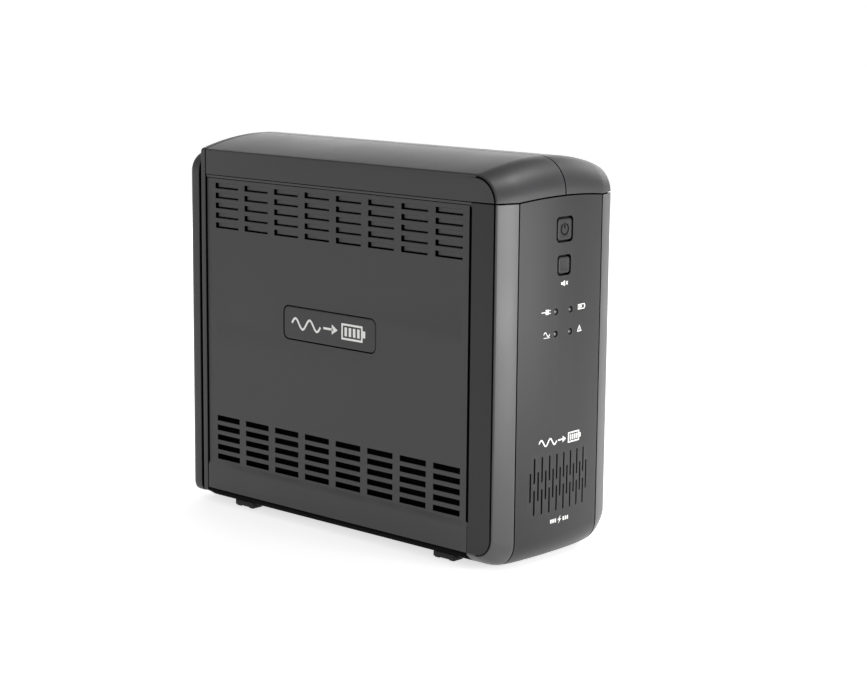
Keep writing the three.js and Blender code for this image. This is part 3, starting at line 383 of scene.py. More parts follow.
CHARCOAL = surface("charcoal plastic", (0.020, 0.0195, 0.021), 0.48, 0.5, 0.5, 0.16, wear=0.25)
# The bezel wings' own darker plastic; on the shells' underside it is painted shade, darkening the lower edge.
WING_AND_UNDERSIDE_SHADE = surface("dark wing plastic and painted underside shade", (0.009, 0.009, 0.0105), 0.5, 0.5, 0.5, 0.16, wear=0.1, specular=0.42)
# Lighter than the shells' charcoal to make up for the shade in the vents' recesses: painted light.
LOUVRE = surface("louvre plates with painted light", (0.045, 0.045, 0.047), 0.5, 0.5, 0.5, 0.12)
FASCIA = surface("satin fascia", (0.016, 0.0155, 0.016), 0.36, 0.22, 0.35, 0.10, wear=0.2, specular=0.28)
STRIP = surface("light satin strip", (0.048, 0.047, 0.049), 0.34, 0.2, 0.35, 0.07, wear=0.3, specular=0.38)
# Near-black and matte: painted shade, used on the skins' rims and dark lines, the badge pocket and the
# liners.
SHADE = surface("near-black painted shade", (0.002, 0.002, 0.002), 0.9, 0.3, 0.6, 0.2, specular=0.03)
BLACK = surface("black plastic", (0.010, 0.010, 0.011), 0.38, 0.3, 0.4, 0.15, wear=0.15)
BADGE = surface("black badge", (0.013, 0.013, 0.014), 0.33, 0.15, 0.3, 0.1)
INK = surface("off-white ink", (0.72, 0.72, 0.70), 0.55, 0.2, 0.25, 0.06)
EMBOSS = surface("dark relief", (0.003, 0.003, 0.0032), 0.8, 0.2, 0.3, 0.1, specular=0.08)
RUBBER = surface("rubber", (0.012, 0.012, 0.012), 0.85, 0.6, 0.6, 0.2)
SCREW = surface("dark zinc", (0.10, 0.10, 0.105), 0.32, 0.3, 0.4, 0.1, metallic=1)
LENS = surface("smoked lens", (0.006, 0.006, 0.008), 0.12, 0.03, 1.5, 0.1, coat=0.6)
STEEL = surface("zinc steel", (0.50, 0.50, 0.51), 0.34, 0.3, 0.4, 0.08, metallic=1)
SHEET = surface("sheet steel", (0.36, 0.37, 0.38), 0.42, 0.4, 1.2, 0.1, metallic=1)
BRASS = surface("brass", (0.62, 0.45, 0.20), 0.28, 0.2, 0.5, 0.08, metallic=1)
BOARD = surface("circuit board", (0.018, 0.085, 0.040), 0.42, 0.6, 3.0, 0.25)
BATTERY = surface("battery plastic", (0.020, 0.020, 0.022), 0.55, 0.4, 0.8, 0.12, wear=0.2)
CORE = surface("core laminations", (0.16, 0.15, 0.145), 0.5, 0.6, 0.5, 0.3, metallic=0.7)
WINDING = surface("winding tape", (0.42, 0.30, 0.08), 0.45, 0.8, 1.0, 0.3)
ALUMINIUM = surface("aluminium", (0.56, 0.57, 0.58), 0.38, 0.5, 0.7, 0.08, metallic=1)
SLEEVE = surface("capacitor sleeve", (0.012, 0.016, 0.045), 0.3, 0.2, 0.8, 0.12)
RED = surface("red insulation", (0.30, 0.012, 0.012), 0.4, 0.3, 0.6, 0.12)
BLACK_LEAD = surface("black insulation", (0.012, 0.012, 0.012), 0.4, 0.3, 0.6, 0.12)


# ---------- skins ----------
# A row is a function from (x, inset) in a plain box section to (y, z). `swell` then bows and crowns it.
def stations(first):
    """(x, inset) from the middle of the case out over its side edge."""
    inner = spread(first, STRIP_X, 12)[:-1] if first < STRIP_X - 1 else []
    start = STRIP_X if inner else first
    flat = [(x, 0) for x in inner + spread(start, HALF_WIDTH - EDGE, 10)]
    rounding = [(HALF_WIDTH - EDGE * (1 - math.sin(a)), EDGE * (1 - math.cos(a))) for a in QUARTER[1:]]
    line = [(HALF_WIDTH - depth, EDGE + inset) for depth, inset in LINE]
    return flat + rounding + line


def arc_rows(radius, centre_z, start, end, count):
    """Rows round a corner. Going under the case the side's rounding gets thinner."""
    def row(angle):
        thin = 1 - (1 - UNDER_EDGE) * max(0, -math.sin(angle))
        return lambda x, d: (FRONT_Y + radius - (radius - d * thin) * math.cos(angle),
                             centre_z + (radius - d * thin) * math.sin(angle))
    return [row(math.radians(a)) for a in spread(start, end, count)]


def front_rows(heights):
    """Rows across the front at these heights."""
    return [lambda x, d, z=z: (FRONT_Y + d, z) for z in heights]


def flush(columns):
    """The same columns with the painted-shade line level with the side face."""
    return [(HALF_WIDTH if inset > EDGE else x, inset) for x, inset in columns]


def swept(side, rows, columns, plain=()):
    """Rows of swelled points; in the rows numbered in `plain` the painted-shade line is flush."""
    return [[swell(side * x, *row(x, inset)) for x, inset in (flush(columns) if k in plain else columns)]
            for k, row in enumerate(rows)]


def under_row(side, y, columns):
    """A row of the flat underside at exactly y, whatever the bow does there."""
    points = [(side * x, SIDE_BOTTOM + inset * UNDER_EDGE) for x, inset in columns]
    return [(x, y, swell(x, 0, z)[2]) for x, z in points]


def vent_lines():
    rears = [VENT_REAR_Y - VENT_PITCH_Y * i for i in range(VENT_COLUMNS)][::-1]
    return [y for rear in rears for y in (rear - VENT_LENGTH, rear)]


def upper_vents():
    """Heights of the upper vents' lower edges, from the top row down."""
    return [UPPER_VENT_BOTTOM - UPPER_VENT_PITCH * i for i in range(VENT_ROWS)]


def groove_end(x, y, z, width, down):
    """Points round an end of the groove, from the joint to the groove's full width."""
    return [(x, y + width * math.sin(a), z - down * (1 - math.cos(a))) for a in QUARTER]


def side_panel(faces, side, front, rear):
    """The recessed panel with its vents, badge pocket and the slopes that lead down to it."""
    out, face = side * HALF_WIDTH, side * (HALF_WIDTH - PANEL_DEPTH)
    lines = vent_lines()
    ys = [front] + lines + [rear]
    top, bottom = PANEL_TOP - PANEL_CHAMFER, PANEL_BOTTOM + PANEL_CHAMFER
    steps = [(0, 0)] + list(LEDGE) + [(PANEL_DEPTH, PANEL_CHAMFER)]
    ledge = [[(out - side * depth, y, PANEL_TOP - drop) for y in ys] for depth, drop in steps]
    # Two faces of the ledge's steps take the painted shade, giving its two dark lines.
    faces.grid(ledge, dark=lambda k, i: k in (1, 5))
    faces.grid([[(out, y, PANEL_BOTTOM) for y in ys], [(face, y, bottom) for y in ys]])

    lower = [LOWER_VENT_TOP - LOWER_VENT_PITCH * i - VENT_HEIGHT for i in range(VENT_ROWS)]
    upper_z = [top] + [z for low in upper_vents() for z in (low + VENT_HEIGHT, low)]
    lower_z = [z for low in lower for z in (low + VENT_HEIGHT, low)] + [bottom]

    def is_vent(i, k):
        return i % 2 == 0 and k % 2 == 1

    for zs in (upper_z, lower_z):
        shift = 0 if zs is upper_z else 1
        for k, (high, low) in enumerate(zip(zs, zs[1:])):
            for i, (y0, y1) in enumerate(zip(lines, lines[1:])):
                if not is_vent(i, k + shift):
                    faces.add((face, y0, low), (face, y1, low), (face, y1, high), (face, y0, high))

    pocket = rounded(BADGE_Y, BADGE_Z, BADGE_WIDTH + 2 * GAP, BADGE_HEIGHT + 2 * GAP, BADGE_RADIUS + GAP)
    low_z, high_z = min(z for _, z in pocket), max(z for _, z in pocket)

    # Front and rear margins, the front one with the groove's rounded ends.
    every_z = upper_z + [high_z, low_z] + lower_z
    upper_end = groove_end(face, front, top, GROOVE_VISIBLE, GROOVE_CORNER)
    lower_end = groove_end(face, front, bottom, GROOVE_VISIBLE, -GROOVE_CORNER)
    faces.add(*upper_end, *lower_end[::-1], *[(face, lines[0], z) for z in every_z[::-1]])
    faces.add((face, rear, top), (face, rear, bottom), *[(face, lines[-1], z) for z in every_z[::-1]])

    # The plain middle round the badge's pocket.
    quarter = len(pocket) // 4
    rim = [(face, y, z) for y, z in pocket]
    rear_side = rim[3 * quarter:] + rim[:quarter]
    front_side = rim[quarter:3 * quarter]
    y0, y1 = lines[0], lines[-1]
    faces.add(*[(face, y, upper_z[-1]) for y in lines], (face, y1, high_z), rim[quarter - 1], rim[quarter],
              (face, y0, high_z))
    faces.add(*[(face, y, lower_z[0]) for y in lines], (face, y1, low_z), rim[3 * quarter],
              rim[3 * quarter - 1], (face, y0, low_z))
    faces.add((face, y0, high_z), *front_side, (face, y0, low_z))
    faces.add((face, y1, low_z), *rear_side, (face, y1, high_z))
    # The pocket's walls and floor take the painted shade.
    floor = [(face - side * BADGE_POCKET, y, z) for y, z in pocket]
    faces.grid([rim, floor], closed=True, slot=1)
    faces.add(*floor, slot=1)
    return ys


def half_shell(side):
    """One side face with its half of the top and of the underside."""
    faces = Faces()
    columns = stations(SEAM / 2)
    rear, front = REAR_SEAM_Y - SEAM / 2, GROOVE_Y + GAP / 2
    rows = [lambda x, d: (FRONT_Y + d, seam_height(x, SEAM / 2))]
    rows += arc_rows(TOP_RADIUS, SIDE_TOP - TOP_RADIUS, 6, 90, 15)
    curved = len(rows)
    rows += [lambda x, d, y=y: (y, SIDE_TOP - d) for y in (-99, WARP_END_Y, -30, 40, rear)]
    top = swept(side, rows, columns, range(curved, len(rows)))
    line = len(columns) - len(LINE)
    # The dark line round the front corner takes the painted shade.
    faces.grid(top, dark=lambda k, i: k < curved - 1 and i >= line - 1)

    # Underside, with the channel that the battery door slides in.
    channel = [(x, 0) for x in spread(GAP / 2, CHANNEL_HALF, 9)]
    outer = [(x, d) for x, d in flush(columns) if x > CHANNEL_HALF + 0.5]
    across = channel + outer
    ys = (front, CHANNEL_FRONT, CHANNEL_REAR, rear)
    under = [under_row(side, y, across) for y in ys]
    last = len(channel) - 1

    def outer_part(k, i):
        return across[i][0] > UNDER_LINE_X

    # The underside takes the darker wing colour as painted shade, and past UNDER_LINE_X the painted shade
    # slot: a painted shadow line under the case.
    faces.grid(under[:2], slot=2, dark=outer_part)
    faces.grid(under[2:], slot=2, dark=outer_part)
    faces.grid([row[last:] for row in under[1:3]], slot=2, dark=lambda k, i: outer_part(k, i + last))
    floor = [[(x, y, CHANNEL_TOP) for x, y, _ in row[:len(channel)]] for row in under[1:3]]
    faces.grid(floor)
    for edge, deep in zip(under[1:3], floor):
        faces.grid([edge[:len(channel)], deep])
    faces.add(under[1][last], under[2][last], floor[1][last], floor[0][last])

    panel_ys = side_panel(faces, side, front, rear)
    out = side * HALF_WIDTH
    crest = [row[-1] for row in top]
    faces.add(*crest, *[(out, y, PANEL_TOP) for y in panel_ys[::-1]])
    foot = [row[-1] for row in under]
    faces.add(*foot, *[(out, y, PANEL_BOTTOM) for y in panel_ys[::-1]])
    name = side_name(side)
    obj = new_object(name + "_shell_skin", faces, [CHARCOAL, SHADE, WING_AND_UNDERSIDE_SHADE])
    thicken(obj, rim=1)
    if side > 0:
        bake(obj)
        holes = Faces()
        for y, z in SCREW_PLACES:
            holes.prism(circle(y, z, SCREW_HOLE), lambda u, v: (HALF_WIDTH - 3, u, v),
                        lambda u, v: (HALF_WIDTH + 3, u, v))
        punch(obj, holes)
    soften_skin(obj, 0.22)
    place(obj, "case", "case_charcoal", name + "_shell")


def bezel():
    """The two angled strips with their side wings, and the strap that joins them under the case."""
    faces = Faces()
    rear = GROOVE_Y - GAP / 2
    join_y = FASCIA_END_Y + GAP / 2
    edge_x = STRIP_X + SEAM / 2
    columns = stations(edge_x)
    for side in (-1, 1):
        rows = [lambda x, d: (FRONT_Y + d, seam_height(x, -SEAM / 2))]
        rows += front_rows(STRIP_ROW_Z)
        straight = len(rows)
        rows += arc_rows(BOTTOM_RADIUS, SIDE_BOTTOM + BOTTOM_RADIUS, 0, -90, 14)
        strip = swept(side, rows, columns, range(straight + 1, len(rows)))
        line = len(columns) - len(LINE)
        # The dark line along the strips' side edges takes the painted shade.
        faces.grid(strip, dark=lambda k, i: i >= line - 1)
        end = under_row(side, rear, flush(columns))
        last = strip[-1]
        corner = (last[0][0], join_y, end[0][2])
        faces.add(last[0], corner, end[0], end[1], last[1])
        faces.grid([last[1:], end[1:]])
        # Side wing, flat, with the groove's front edge.
        out = side * HALF_WIDTH
        outline = [row[-1] for row in strip] + [end[-1]]
        low, high = PANEL_BOTTOM + PANEL_CHAMFER, PANEL_TOP - PANEL_CHAMFER
        lower_end = groove_end(out, rear, low, -GROOVE_CORNER, -GROOVE_CORNER)
        upper_end = groove_end(out, rear, high, -GROOVE_CORNER, GROOVE_CORNER)
        faces.add(*outline, *lower_end, *upper_end[::-1], (out, rear, SEAM_Z - SEAM / 2), slot=2)
    middle = [(x, 0) for x in spread(-edge_x, edge_x, 16)]
    faces.grid([under_row(1, join_y, middle), under_row(1, rear, middle)])
    obj = new_object("bezel_skin", faces, [STRIP, SHADE, WING_AND_UNDERSIDE_SHADE])
    thicken(obj, rim=1)
    soften_skin(obj, 0.22)
    place(obj, "case", "case_charcoal", "front_bezel")


def front_y(x):
    return FRONT_Y - bow(x)


def grille_slots():
    low, high = GRILLE_Z - GRILLE_TALL / 2, GRILLE_Z + GRILLE_TALL / 2
    slots = [(GRILLE_PITCH * (i - 4), GRILLE_Z - GRILLE_MIDDLE / 2, GRILLE_Z + GRILLE_MIDDLE / 2)
             for i in range(9)]
    for i in range(8):
        x = GRILLE_PITCH * (i - 3.5)
        slots += [(x, low, GRILLE_Z - GRILLE_BRIDGE / 2), (x, GRILLE_Z + GRILLE_BRIDGE / 2, high)]
    return slots


def led_places():
    return [(x, z) for z in LED_ROWS for x in (-LED_X, LED_X)]


def fascia():
    """The bowed front panel with its openings."""
    faces = Faces()
    edge_x = STRIP_X - SEAM / 2
    xs = [-edge_x] + [GRILLE_PITCH / 2 * i for i in range(-11, 12)] + [edge_x]
    columns = [(x, FASCIA_INSET) for x in xs]
    rows = [lambda x, d: (FRONT_Y + d, seam_height(x, -SEAM / 2))]
    rows += front_rows(FASCIA_ROW_Z)
    rows += arc_rows(BOTTOM_RADIUS, SIDE_BOTTOM + BOTTOM_RADIUS, 0, -90, 14)
    surface_rows = swept(1, rows, columns)
    surface_rows.append(under_row(1, FASCIA_END_Y - GAP / 2, columns))
    faces.grid(surface_rows)
    obj = new_object("fascia_skin", faces, [FASCIA, SHADE])
    thicken(obj, rim=1)
    bake(obj)
    holes = Faces()
    fore, aft = (lambda u, v: (u, FRONT_Y - 13, v)), (lambda u, v: (u, FRONT_Y + 10, v))
    for z, width, height, radius in (POWER, MUTE):
        holes.prism(rounded(0, z, width + 2 * GAP, height + 2 * GAP, radius + GAP), fore, aft)
    for x, z in led_places():
        holes.prism(circle(x, z, LED_RADIUS + 0.15, 24), fore, aft)
    for x, low, high in grille_slots():
        holes.prism(rounded(x, (low + high) / 2, GRILLE_SLOT, high - low, GRILLE_SLOT / 2 - 0.02, 3),
                    fore, aft)
    punch(obj, holes)
    soften_skin(obj, 0.15)
    place(obj, "case", "fascia_grey", "front_panel")


def bezier_corner(start, control, end, count=8):
    points = []
    for i in range(count + 1):
        t = i / count
        points.append(tuple((1 - t) ** 2 * a + 2 * t * (1 - t) * b + t * t * c
                            for a, b, c in zip(start, control, end)))
    return points


def section(inset, top_radius, bottom_radius, drop=0):
    """Rear view outline of the case, set in and with its corners rounded, as (x, z)."""
    half = HALF_WIDTH - inset
    upper, lower = half - top_radius, half - bottom_radius

    def roof(x):
        return SIDE_TOP + crown(x) - inset - drop

    def floor(x):
        return SIDE_BOTTOM - belly(x) + inset

    base = floor(lower)
    points = [(x, floor(x)) for x in spread(0, lower, 7)[:-1]]
    points += bezier_corner((lower, base), (half, base), (half, base + bottom_radius))
    points += bezier_corner((half, roof(upper) - top_radius), (half, roof(half)), (upper, roof(upper)))
    points += [(x, roof(x)) for x in spread(upper, 0, 9)[1:]]
    mirrored = [(-x, z) for x, z in points[::-1]][1:-1]
    return points + mirrored


def rear_panel():
    """The flush rim, the joint behind it with painted shade in its groove, and the socket tray."""
    faces = Faces()
    loops = [(REAR_SEAM_Y + SEAM / 2, section(0, RIM_CORNER, RIM_CORNER))]
    for a in QUARTER:
        loops.append((RIM_REAR_Y - RIM_ROUND * (1 - math.sin(a)),
                      section(RIM_ROUND * (1 - math.cos(a)), RIM_CORNER, RIM_CORNER)))
    upper, lower = TRAY_CORNERS
    root, joint_end, chamfer = TRAY_INSET + 2, RIM_REAR_Y + TRAY_JOINT, 0.3
    for y, inset, tighter in ((RIM_REAR_Y, root, 1), (joint_end, root, 1),
                              (joint_end + chamfer, TRAY_INSET + chamfer, chamfer),
                              (joint_end + 2 * chamfer, TRAY_INSET, 0)):
        loops.append((y, section(inset, upper - tighter, lower - tighter, TRAY_DROP)))
    for a in QUARTER:
        inset = TRAY_ROUND * (1 - math.cos(a))
        loops.append((REAR_Y - TRAY_ROUND * (1 - math.sin(a)),
                      section(TRAY_INSET + inset, upper - inset, lower - inset / 2, TRAY_DROP)))
    rows = [[(x, y, z) for x, z in loop] for y, loop in loops]
    # The groove at the tray's root takes the painted shade.
    faces.grid(rows, closed=True, dark=lambda k, i: 6 <= k <= 7)
    faces.add(*rows[-1])
    obj = new_object("rear_skin", faces, [CHARCOAL, SHADE])
    thicken(obj, 2, rim=1)
    bake(obj)
    holes = Faces()
    fore, aft = (lambda u, v: (u, REAR_Y - 8, v)), (lambda u, v: (u, REAR_Y + 4, v))
    windows = [(x, z, *OUTLET) for z in OUTLET_ROWS for x in (-OUTLET_X, OUTLET_X)]
    windows += [(*INLET, 2), (*USB, 0.5), (*JACKS, 0.5)]
    for x, z, width, height, radius in windows:
        holes.prism(rounded(x, z, width + 2 * GAP, height + 2 * GAP, radius + GAP), fore, aft)
    holes.prism(circle(BREAKER_X, BREAKER_Z, BREAKER_COLLAR + GAP), fore, aft)
    for z in REAR_SLOT_Z:
        holes.prism(rounded(0, z, *REAR_SLOT, 3), fore, aft)
    punch(obj, holes)
    soften_skin(obj, 0.25)
    place(obj, "case", "case_charcoal", "rear_panel")


# ---------- small pieces on the skins ----------
def vent_backing(side):
    """The plates close behind the upper vents, with a slit along the foot and at the rear of each; their
    lighter colour is painted light against the recess's shade.
    """
    face = HALF_WIDTH - PANEL_DEPTH - LOUVRE_DEPTH
    faces = Faces()
    lines = vent_lines()
    for front, rear in zip(lines[::2], lines[1::2]):
        top = UPPER_VENT_BOTTOM + VENT_HEIGHT + 1
        for low in upper_vents():
            faces.box(side * (face - VENT_PLATE), side * face, front - 1, rear - LOUVRE_NOTCH,
                      low + LOUVRE_GAP, top)
            top = low - 0.1
    obj = new_object("vent_backing_" + side_name(side), faces, [LOUVRE])
    soften(obj, 0.12)
    place(obj, "case", "case_charcoal")


# Near-black pieces in the painted shade, put where only shade shows.
def dark_piece(name, faces, rounding=0.15):
    obj = new_object(name, faces, [SHADE])
    soften(obj, rounding)
    place(obj, "case", "case_charcoal")


def vent_liner(side):
    """The dark inner wall a few millimetres behind the vents, a sheet of painted shade."""
    lines = vent_lines()
    faces = Faces()
    inner, outer = VENT_LINER_X
    upper = (upper_vents()[-1] - 3, UPPER_VENT_BOTTOM + VENT_HEIGHT)
    for bottom, top in ((PANEL_BOTTOM, LOWER_VENT_TOP), upper):
        faces.box(side * inner, side * outer, lines[0] - 3, REAR_SEAM_Y - 1, bottom, top + 3)
    dark_piece("vent_liner_" + side_name(side), faces, 0.2)


def groove_tongue(side):
    """The dark lip behind the groove between the shell and the bezel, painted shade seen in the groove."""
    faces = Faces()
    inner = HALF_WIDTH - PANEL_DEPTH - WALL
    faces.box(side * (inner - 2.2), side * (inner - 0.6), GROOVE_Y - 6, GROOVE_Y + 4.5,
              PANEL_BOTTOM - 2, PANEL_TOP - 1)
    dark_piece("groove_tongue_" + side_name(side), faces, 0.2)


def liner(faces, rows, across, depth):
    """A dark plate `depth` below the surface that the rows describe."""
    loop = [(x, depth) for x in across] + [(x, depth + LINER) for x in across[::-1]]
    faces.tube(swept(1, rows, loop))


def joint_liners():
    """Dark plates behind the joints, the grille and the rear slots, so that no light shows through; they are
    sheets of painted shade.
    """
    faces = Faces()
    rows = arc_rows(TOP_RADIUS, SIDE_TOP - TOP_RADIUS, 8, 90, 10)
    rows += [lambda x, d, y=y: (y, SIDE_TOP - d) for y in (WARP_END_Y, 0, REAR_SEAM_Y - 2)]
    liner(faces, rows, (-2, 2), WALL + 0.3)
    dark_piece("cap_joint_liner", faces)

    faces = Faces()
    liner(faces, front_rows((24, 40, 56, 69)), spread(-31, 31, 16), WALL + 1.6)
    dark_piece("grille_liner", faces)

    faces = Faces()
    rows = front_rows((200, 120, 60, 32))
    rows += arc_rows(BOTTOM_RADIUS, SIDE_BOTTOM + BOTTOM_RADIUS, 0, -84, 10)
    for side in (-1, 1):
        liner(faces, rows, (side * (STRIP_X - 2), side * (STRIP_X + 2)), WALL + 1)
        faces.box(side * 47.2, side * 48, FRONT_Y + 1.4, GROOVE_Y + 3, SEAM_Z - 4, SEAM_Z + 5)
    rows = [lambda x, d, lift=lift: (FRONT_Y + d, seam_height(x, lift)) for lift in (-3, 3)]
    liner(faces, rows, spread(-47, 47, 20), WALL + 1.9)
    dark_piece("front_joint_liner", faces)

    faces = Faces()
    faces.box(-34, 34, REAR_Y - 7, REAR_Y - 6, REAR_SLOT_Z[0] - 4, REAR_SLOT_Z[-1] + 4)
    dark_piece("rear_slot_liner", faces)


def screw_cups():
    """The recesses round the screw heads in the right shell, near-black with painted shade."""
    faces = Faces()
    for y, z in SCREW_PLACES:
        def ring(inset, x):
            return [(x, u, v) for u, v in circle(y, z, SCREW_CUP - inset, 24)]

        rim_x = HALF_WIDTH - WALL - 0.1
        pillow(faces, ring, [(0, SCREW_SEAT_X - LINER), (0, rim_x), (0.6, rim_x), (0.6, SCREW_SEAT_X)])
    dark_piece("screw_recesses", faces)


def pillow(faces, loop_at, levels):
    """A closed body from one outline at several (inset, depth) levels."""
    faces.tube([loop_at(inset, depth) for inset, depth in levels])


def badge(side):
    """The side plate and the mark on it."""
    name = side_name(side)
    face = HALF_WIDTH - PANEL_DEPTH
    faces = Faces()

    def ring(inset, depth):
        loop = rounded(BADGE_Y, BADGE_Z, BADGE_WIDTH - 2 * inset, BADGE_HEIGHT - 2 * inset,
                       BADGE_RADIUS - inset, 8)
        return [(side * (face - depth), y, z) for y, z in loop]

    levels = [(0, 0.85), (0, 0.45), (0.12, 0.22), (0.4, 0.12), (1.2, 0.1)]
    pillow(faces, ring, [(PLAY + inset, depth) for inset, depth in levels])
    obj = new_object("badge_plate_" + name, faces, [BADGE])
    shade(obj)
    place(obj, "case", "badge_black", "badge_" + name)

    # A plain mark: a mains wave running into a battery, no lettering.
    mark = Marks()
    mark.stroke([(i - 31, 3.1 * math.sin(math.pi * i / 6)) for i in range(25)], 1.3)
    mark.stroke([(-4.5, 0), (3.5, 0)], 1.3)
    mark.fill([(2.5, 3), (7.3, 0), (2.5, -3)])
    mark.outline(rectangle(11, -4.2, 27, 4.2), 1.2)
    mark.fill(rectangle(27.7, -2, 29.7, 2))
    for bar in range(4):
        u = 13 + 3.4 * bar
        mark.fill(rectangle(u, -2.6, u + 2, 2.6))
    top = face - levels[-1][1]

    def to_case(u, v, lift):
        return side * (top + lift), BADGE_Y + side * u, BADGE_Z + v

    mark.build("badge_mark_" + name, to_case, INK_LIFT, "case", "badge_black")


def rectangle(u0, v0, u1, v1):
    return [(u0, v0), (u1, v0), (u1, v1), (u0, v1)]


class Marks:
    """Flat pictograms drawn with strokes and filled outlines in (u, v)."""

    def __init__(self):
        self.shapes = []

    def fill(self, loop):
        self.shapes.append([loop])

    def stroke(self, line, width, closed=False):
        count = len(line)
        left, right = [], []
        for i, (u, v) in enumerate(line):
            before = line[i - 1] if (i or closed) else line[i]
            after = line[(i + 1) % count] if (i < count - 1 or closed) else line[i]
            one = Vector((u - before[0], v - before[1]))
            two = Vector((after[0] - u, after[1] - v))
            one, two = (one.normalized() if one.length else two.normalized(),
                        two.normalized() if two.length else one.normalized())
            tangent = (one + two).normalized()
            reach = width / 2 / max(0.5, tangent.dot(two))
            left.append((u - tangent.y * reach, v + tangent.x * reach))
            right.append((u + tangent.y * reach, v - tangent.x * reach))
        last = count if closed else count - 1
        self.shapes.append([[left[i], left[(i + 1) % count], right[(i + 1) % count], right[i]]
                            for i in range(last)])

    def outline(self, loop, width):
        self.stroke(loop, width, closed=True)

    def build(self, name, to_case, lift, body, slot, material=None):
        """`to_case` takes (u, v, lift) to a point on the case."""
        faces = Faces()
        for shape in self.shapes:
            for loop in shape:
                faces.add(*[to_case(u, v, lift) for u, v in loop])
        obj = new_object(name, faces, [material or INK])
        outward = Vector(to_case(0, 0, 1)) - Vector(to_case(0, 0, 0))
        bm = bmesh.new()
        bm.from_mesh(obj.data)
        for face in bm.faces:
            if face.normal.dot(outward) < 0:
                face.normal_flip()
        bm.to_mesh(obj.data)
        bm.free()
        thicken(obj, lift + 0.04)
        shade(obj)
        place(obj, body, slot)


def on_front(u, v, lift):
    return u, front_y(u) + FASCIA_INSET - lift, v


def front_button(name, spec, node_name):
    """A button's cap, its flange behind the fascia and its stem."""
    z, width, height, radius = spec
    faces = Faces()

    def ring(inset, depth):
        less = 2 * (BUTTON_PLAY + inset)
        loop = rounded(0, z, width - less, height - less, max(0.3, radius - 0.3 - inset), 6)
        return [(x, front_y(x) + FASCIA_INSET + depth, v) for x, v in loop]

    pillow(faces, ring, [(0, 5.2), (0, 0.55), (0.12, 0.26), (0.4, 0.1), (1.0, 0.06), (1.9, 0.16),
                         (3.0, CAP_HOLLOW)])
    flange = rounded(0, z, width + 2.6, height + 2.6, radius, 4)
    back = front_y(0) + FASCIA_INSET + WALL + 2.6
    faces.prism(flange, lambda u, v: (u, back, v), lambda u, v: (u, back + 1.2, v))
    stem = circle(0, z, 2, 16)
    faces.prism(stem, lambda u, v: (u, back + 1, v), lambda u, v: (u, STEM_END_Y, v))
    obj = new_object(name, faces, [FASCIA])
    shade(obj)
    place(obj, node_name, "fascia_grey", node_name)


def led(name, x, z):
    faces = Faces()

    def ring(inset, depth):
        return [(u, front_y(u) + FASCIA_INSET + depth, v) for u, v in circle(x, z, LED_RADIUS - 0.15 - inset)]

    pillow(faces, ring, [(0, 12.6), (0, 0.9), (0.15, 0.6), (0.45, 0.4), (0.9, 0.28), (1.3, 0.25)])
    obj = new_object(name + "_lens", faces, [LENS])
    shade(obj)
    place(obj, "case", "lens_smoke", name)


def power_mark():
    mark = Marks()
    turns = [math.pi * (0.5 + a) for a in spread(0.17, 1.83, 20)]
    middle = POWER[0]
    mark.stroke([(3.1 * math.cos(a), middle + 3.1 * math.sin(a)) for a in turns], 0.75)
    mark.stroke([(0, middle + 0.3), (0, middle + 3.6)], 0.75)

    def on_cap(u, v, lift):
        return u, front_y(u) + FASCIA_INSET + CAP_HOLLOW - lift, v

    mark.build("power_mark", on_cap, 0.14, "power_button", "fascia_grey", EMBOSS)


def mute_mark(mark, z=159.4):
    """Crossed-out sounder."""
    mark.fill(rectangle(-2.6, z - 0.7, -1.2, z + 0.7))
    mark.fill([(-1.1, z - 0.7), (0.5, z - 1.7), (0.5, z + 1.7), (-1.1, z + 0.7)])
    mark.stroke([(1.4, z - 0.9), (3.2, z + 0.9)], 0.55)
    mark.stroke([(1.4, z + 0.9), (3.2, z - 0.9)], 0.55)


def online_mark(mark, u=-14, z=LED_ROWS[0] + 0.5):
    """Plug with two pins and its lead."""
    mark.fill(rectangle(u - 1.2, z - 1.4, u + 1.3, z + 1.4))
    for pin_z in (z + 0.75, z - 0.75):
        mark.stroke([(u + 1.3, pin_z), (u + 2.9, pin_z)], 0.5)
    mark.stroke([(u - 1.2, z), (u - 4.5, z)], 0.5)


def battery_mark(mark, u=13.5, z=LED_ROWS[0] + 0.5):
    mark.outline(rectangle(u, z - 1.25, u + 6, z + 1.25), 0.5)
    mark.fill(rectangle(u + 6.3, z - 0.6, u + 6.9, z + 0.6))
    mark.fill(rectangle(u + 0.9, z - 0.6, u + 3.4, z + 0.6))


def regulation_mark(mark, u=-16.5, z=LED_ROWS[1] + 0.5):
    """Wave over a level line."""
    mark.stroke([(u + 5 * i / 20, z + 1.2 * math.sin(2 * math.pi * i / 20)) for i in range(21)], 0.5)
    mark.stroke([(u, z - 1.9), (u + 5, z - 1.9)], 0.35)


def overload_mark(mark, u=15, z=LED_ROWS[1] + 0.5):
    """Triangle with a bar."""
    mark.outline([(u - 1.8, z - 1.3), (u + 1.8, z - 1.3), (u, z + 1.8)], 0.45)
    mark.stroke([(u, z - 0.75), (u, z + 0.6)], 0.45)


def front_mark(mark, z=70.5, s=0.62):
    """The side badge's mains wave and battery, smaller."""
    mark.stroke([(s * (i - 30), z + s * 3.1 * math.sin(math.pi * i / 6)) for i in range(25)], 0.85)
    mark.stroke([(s * -4, z), (s * 3.5, z)], 0.85)
    mark.fill([(s * 2.5, z + s * 3), (s * 7.3, z), (s * 2.5, z - s * 3)])
    mark.outline(rectangle(s * 11, z - s * 4.2, s * 27, z + s * 4.2), 0.8)
    mark.fill(rectangle(s * 27.8, z - s * 2, s * 30, z + s * 2))
    for bar in range(4):
        u = s * (13.2 + 3.3 * bar)
        mark.fill(rectangle(u, z - 1.5, u + 1.2, z + 1.5))


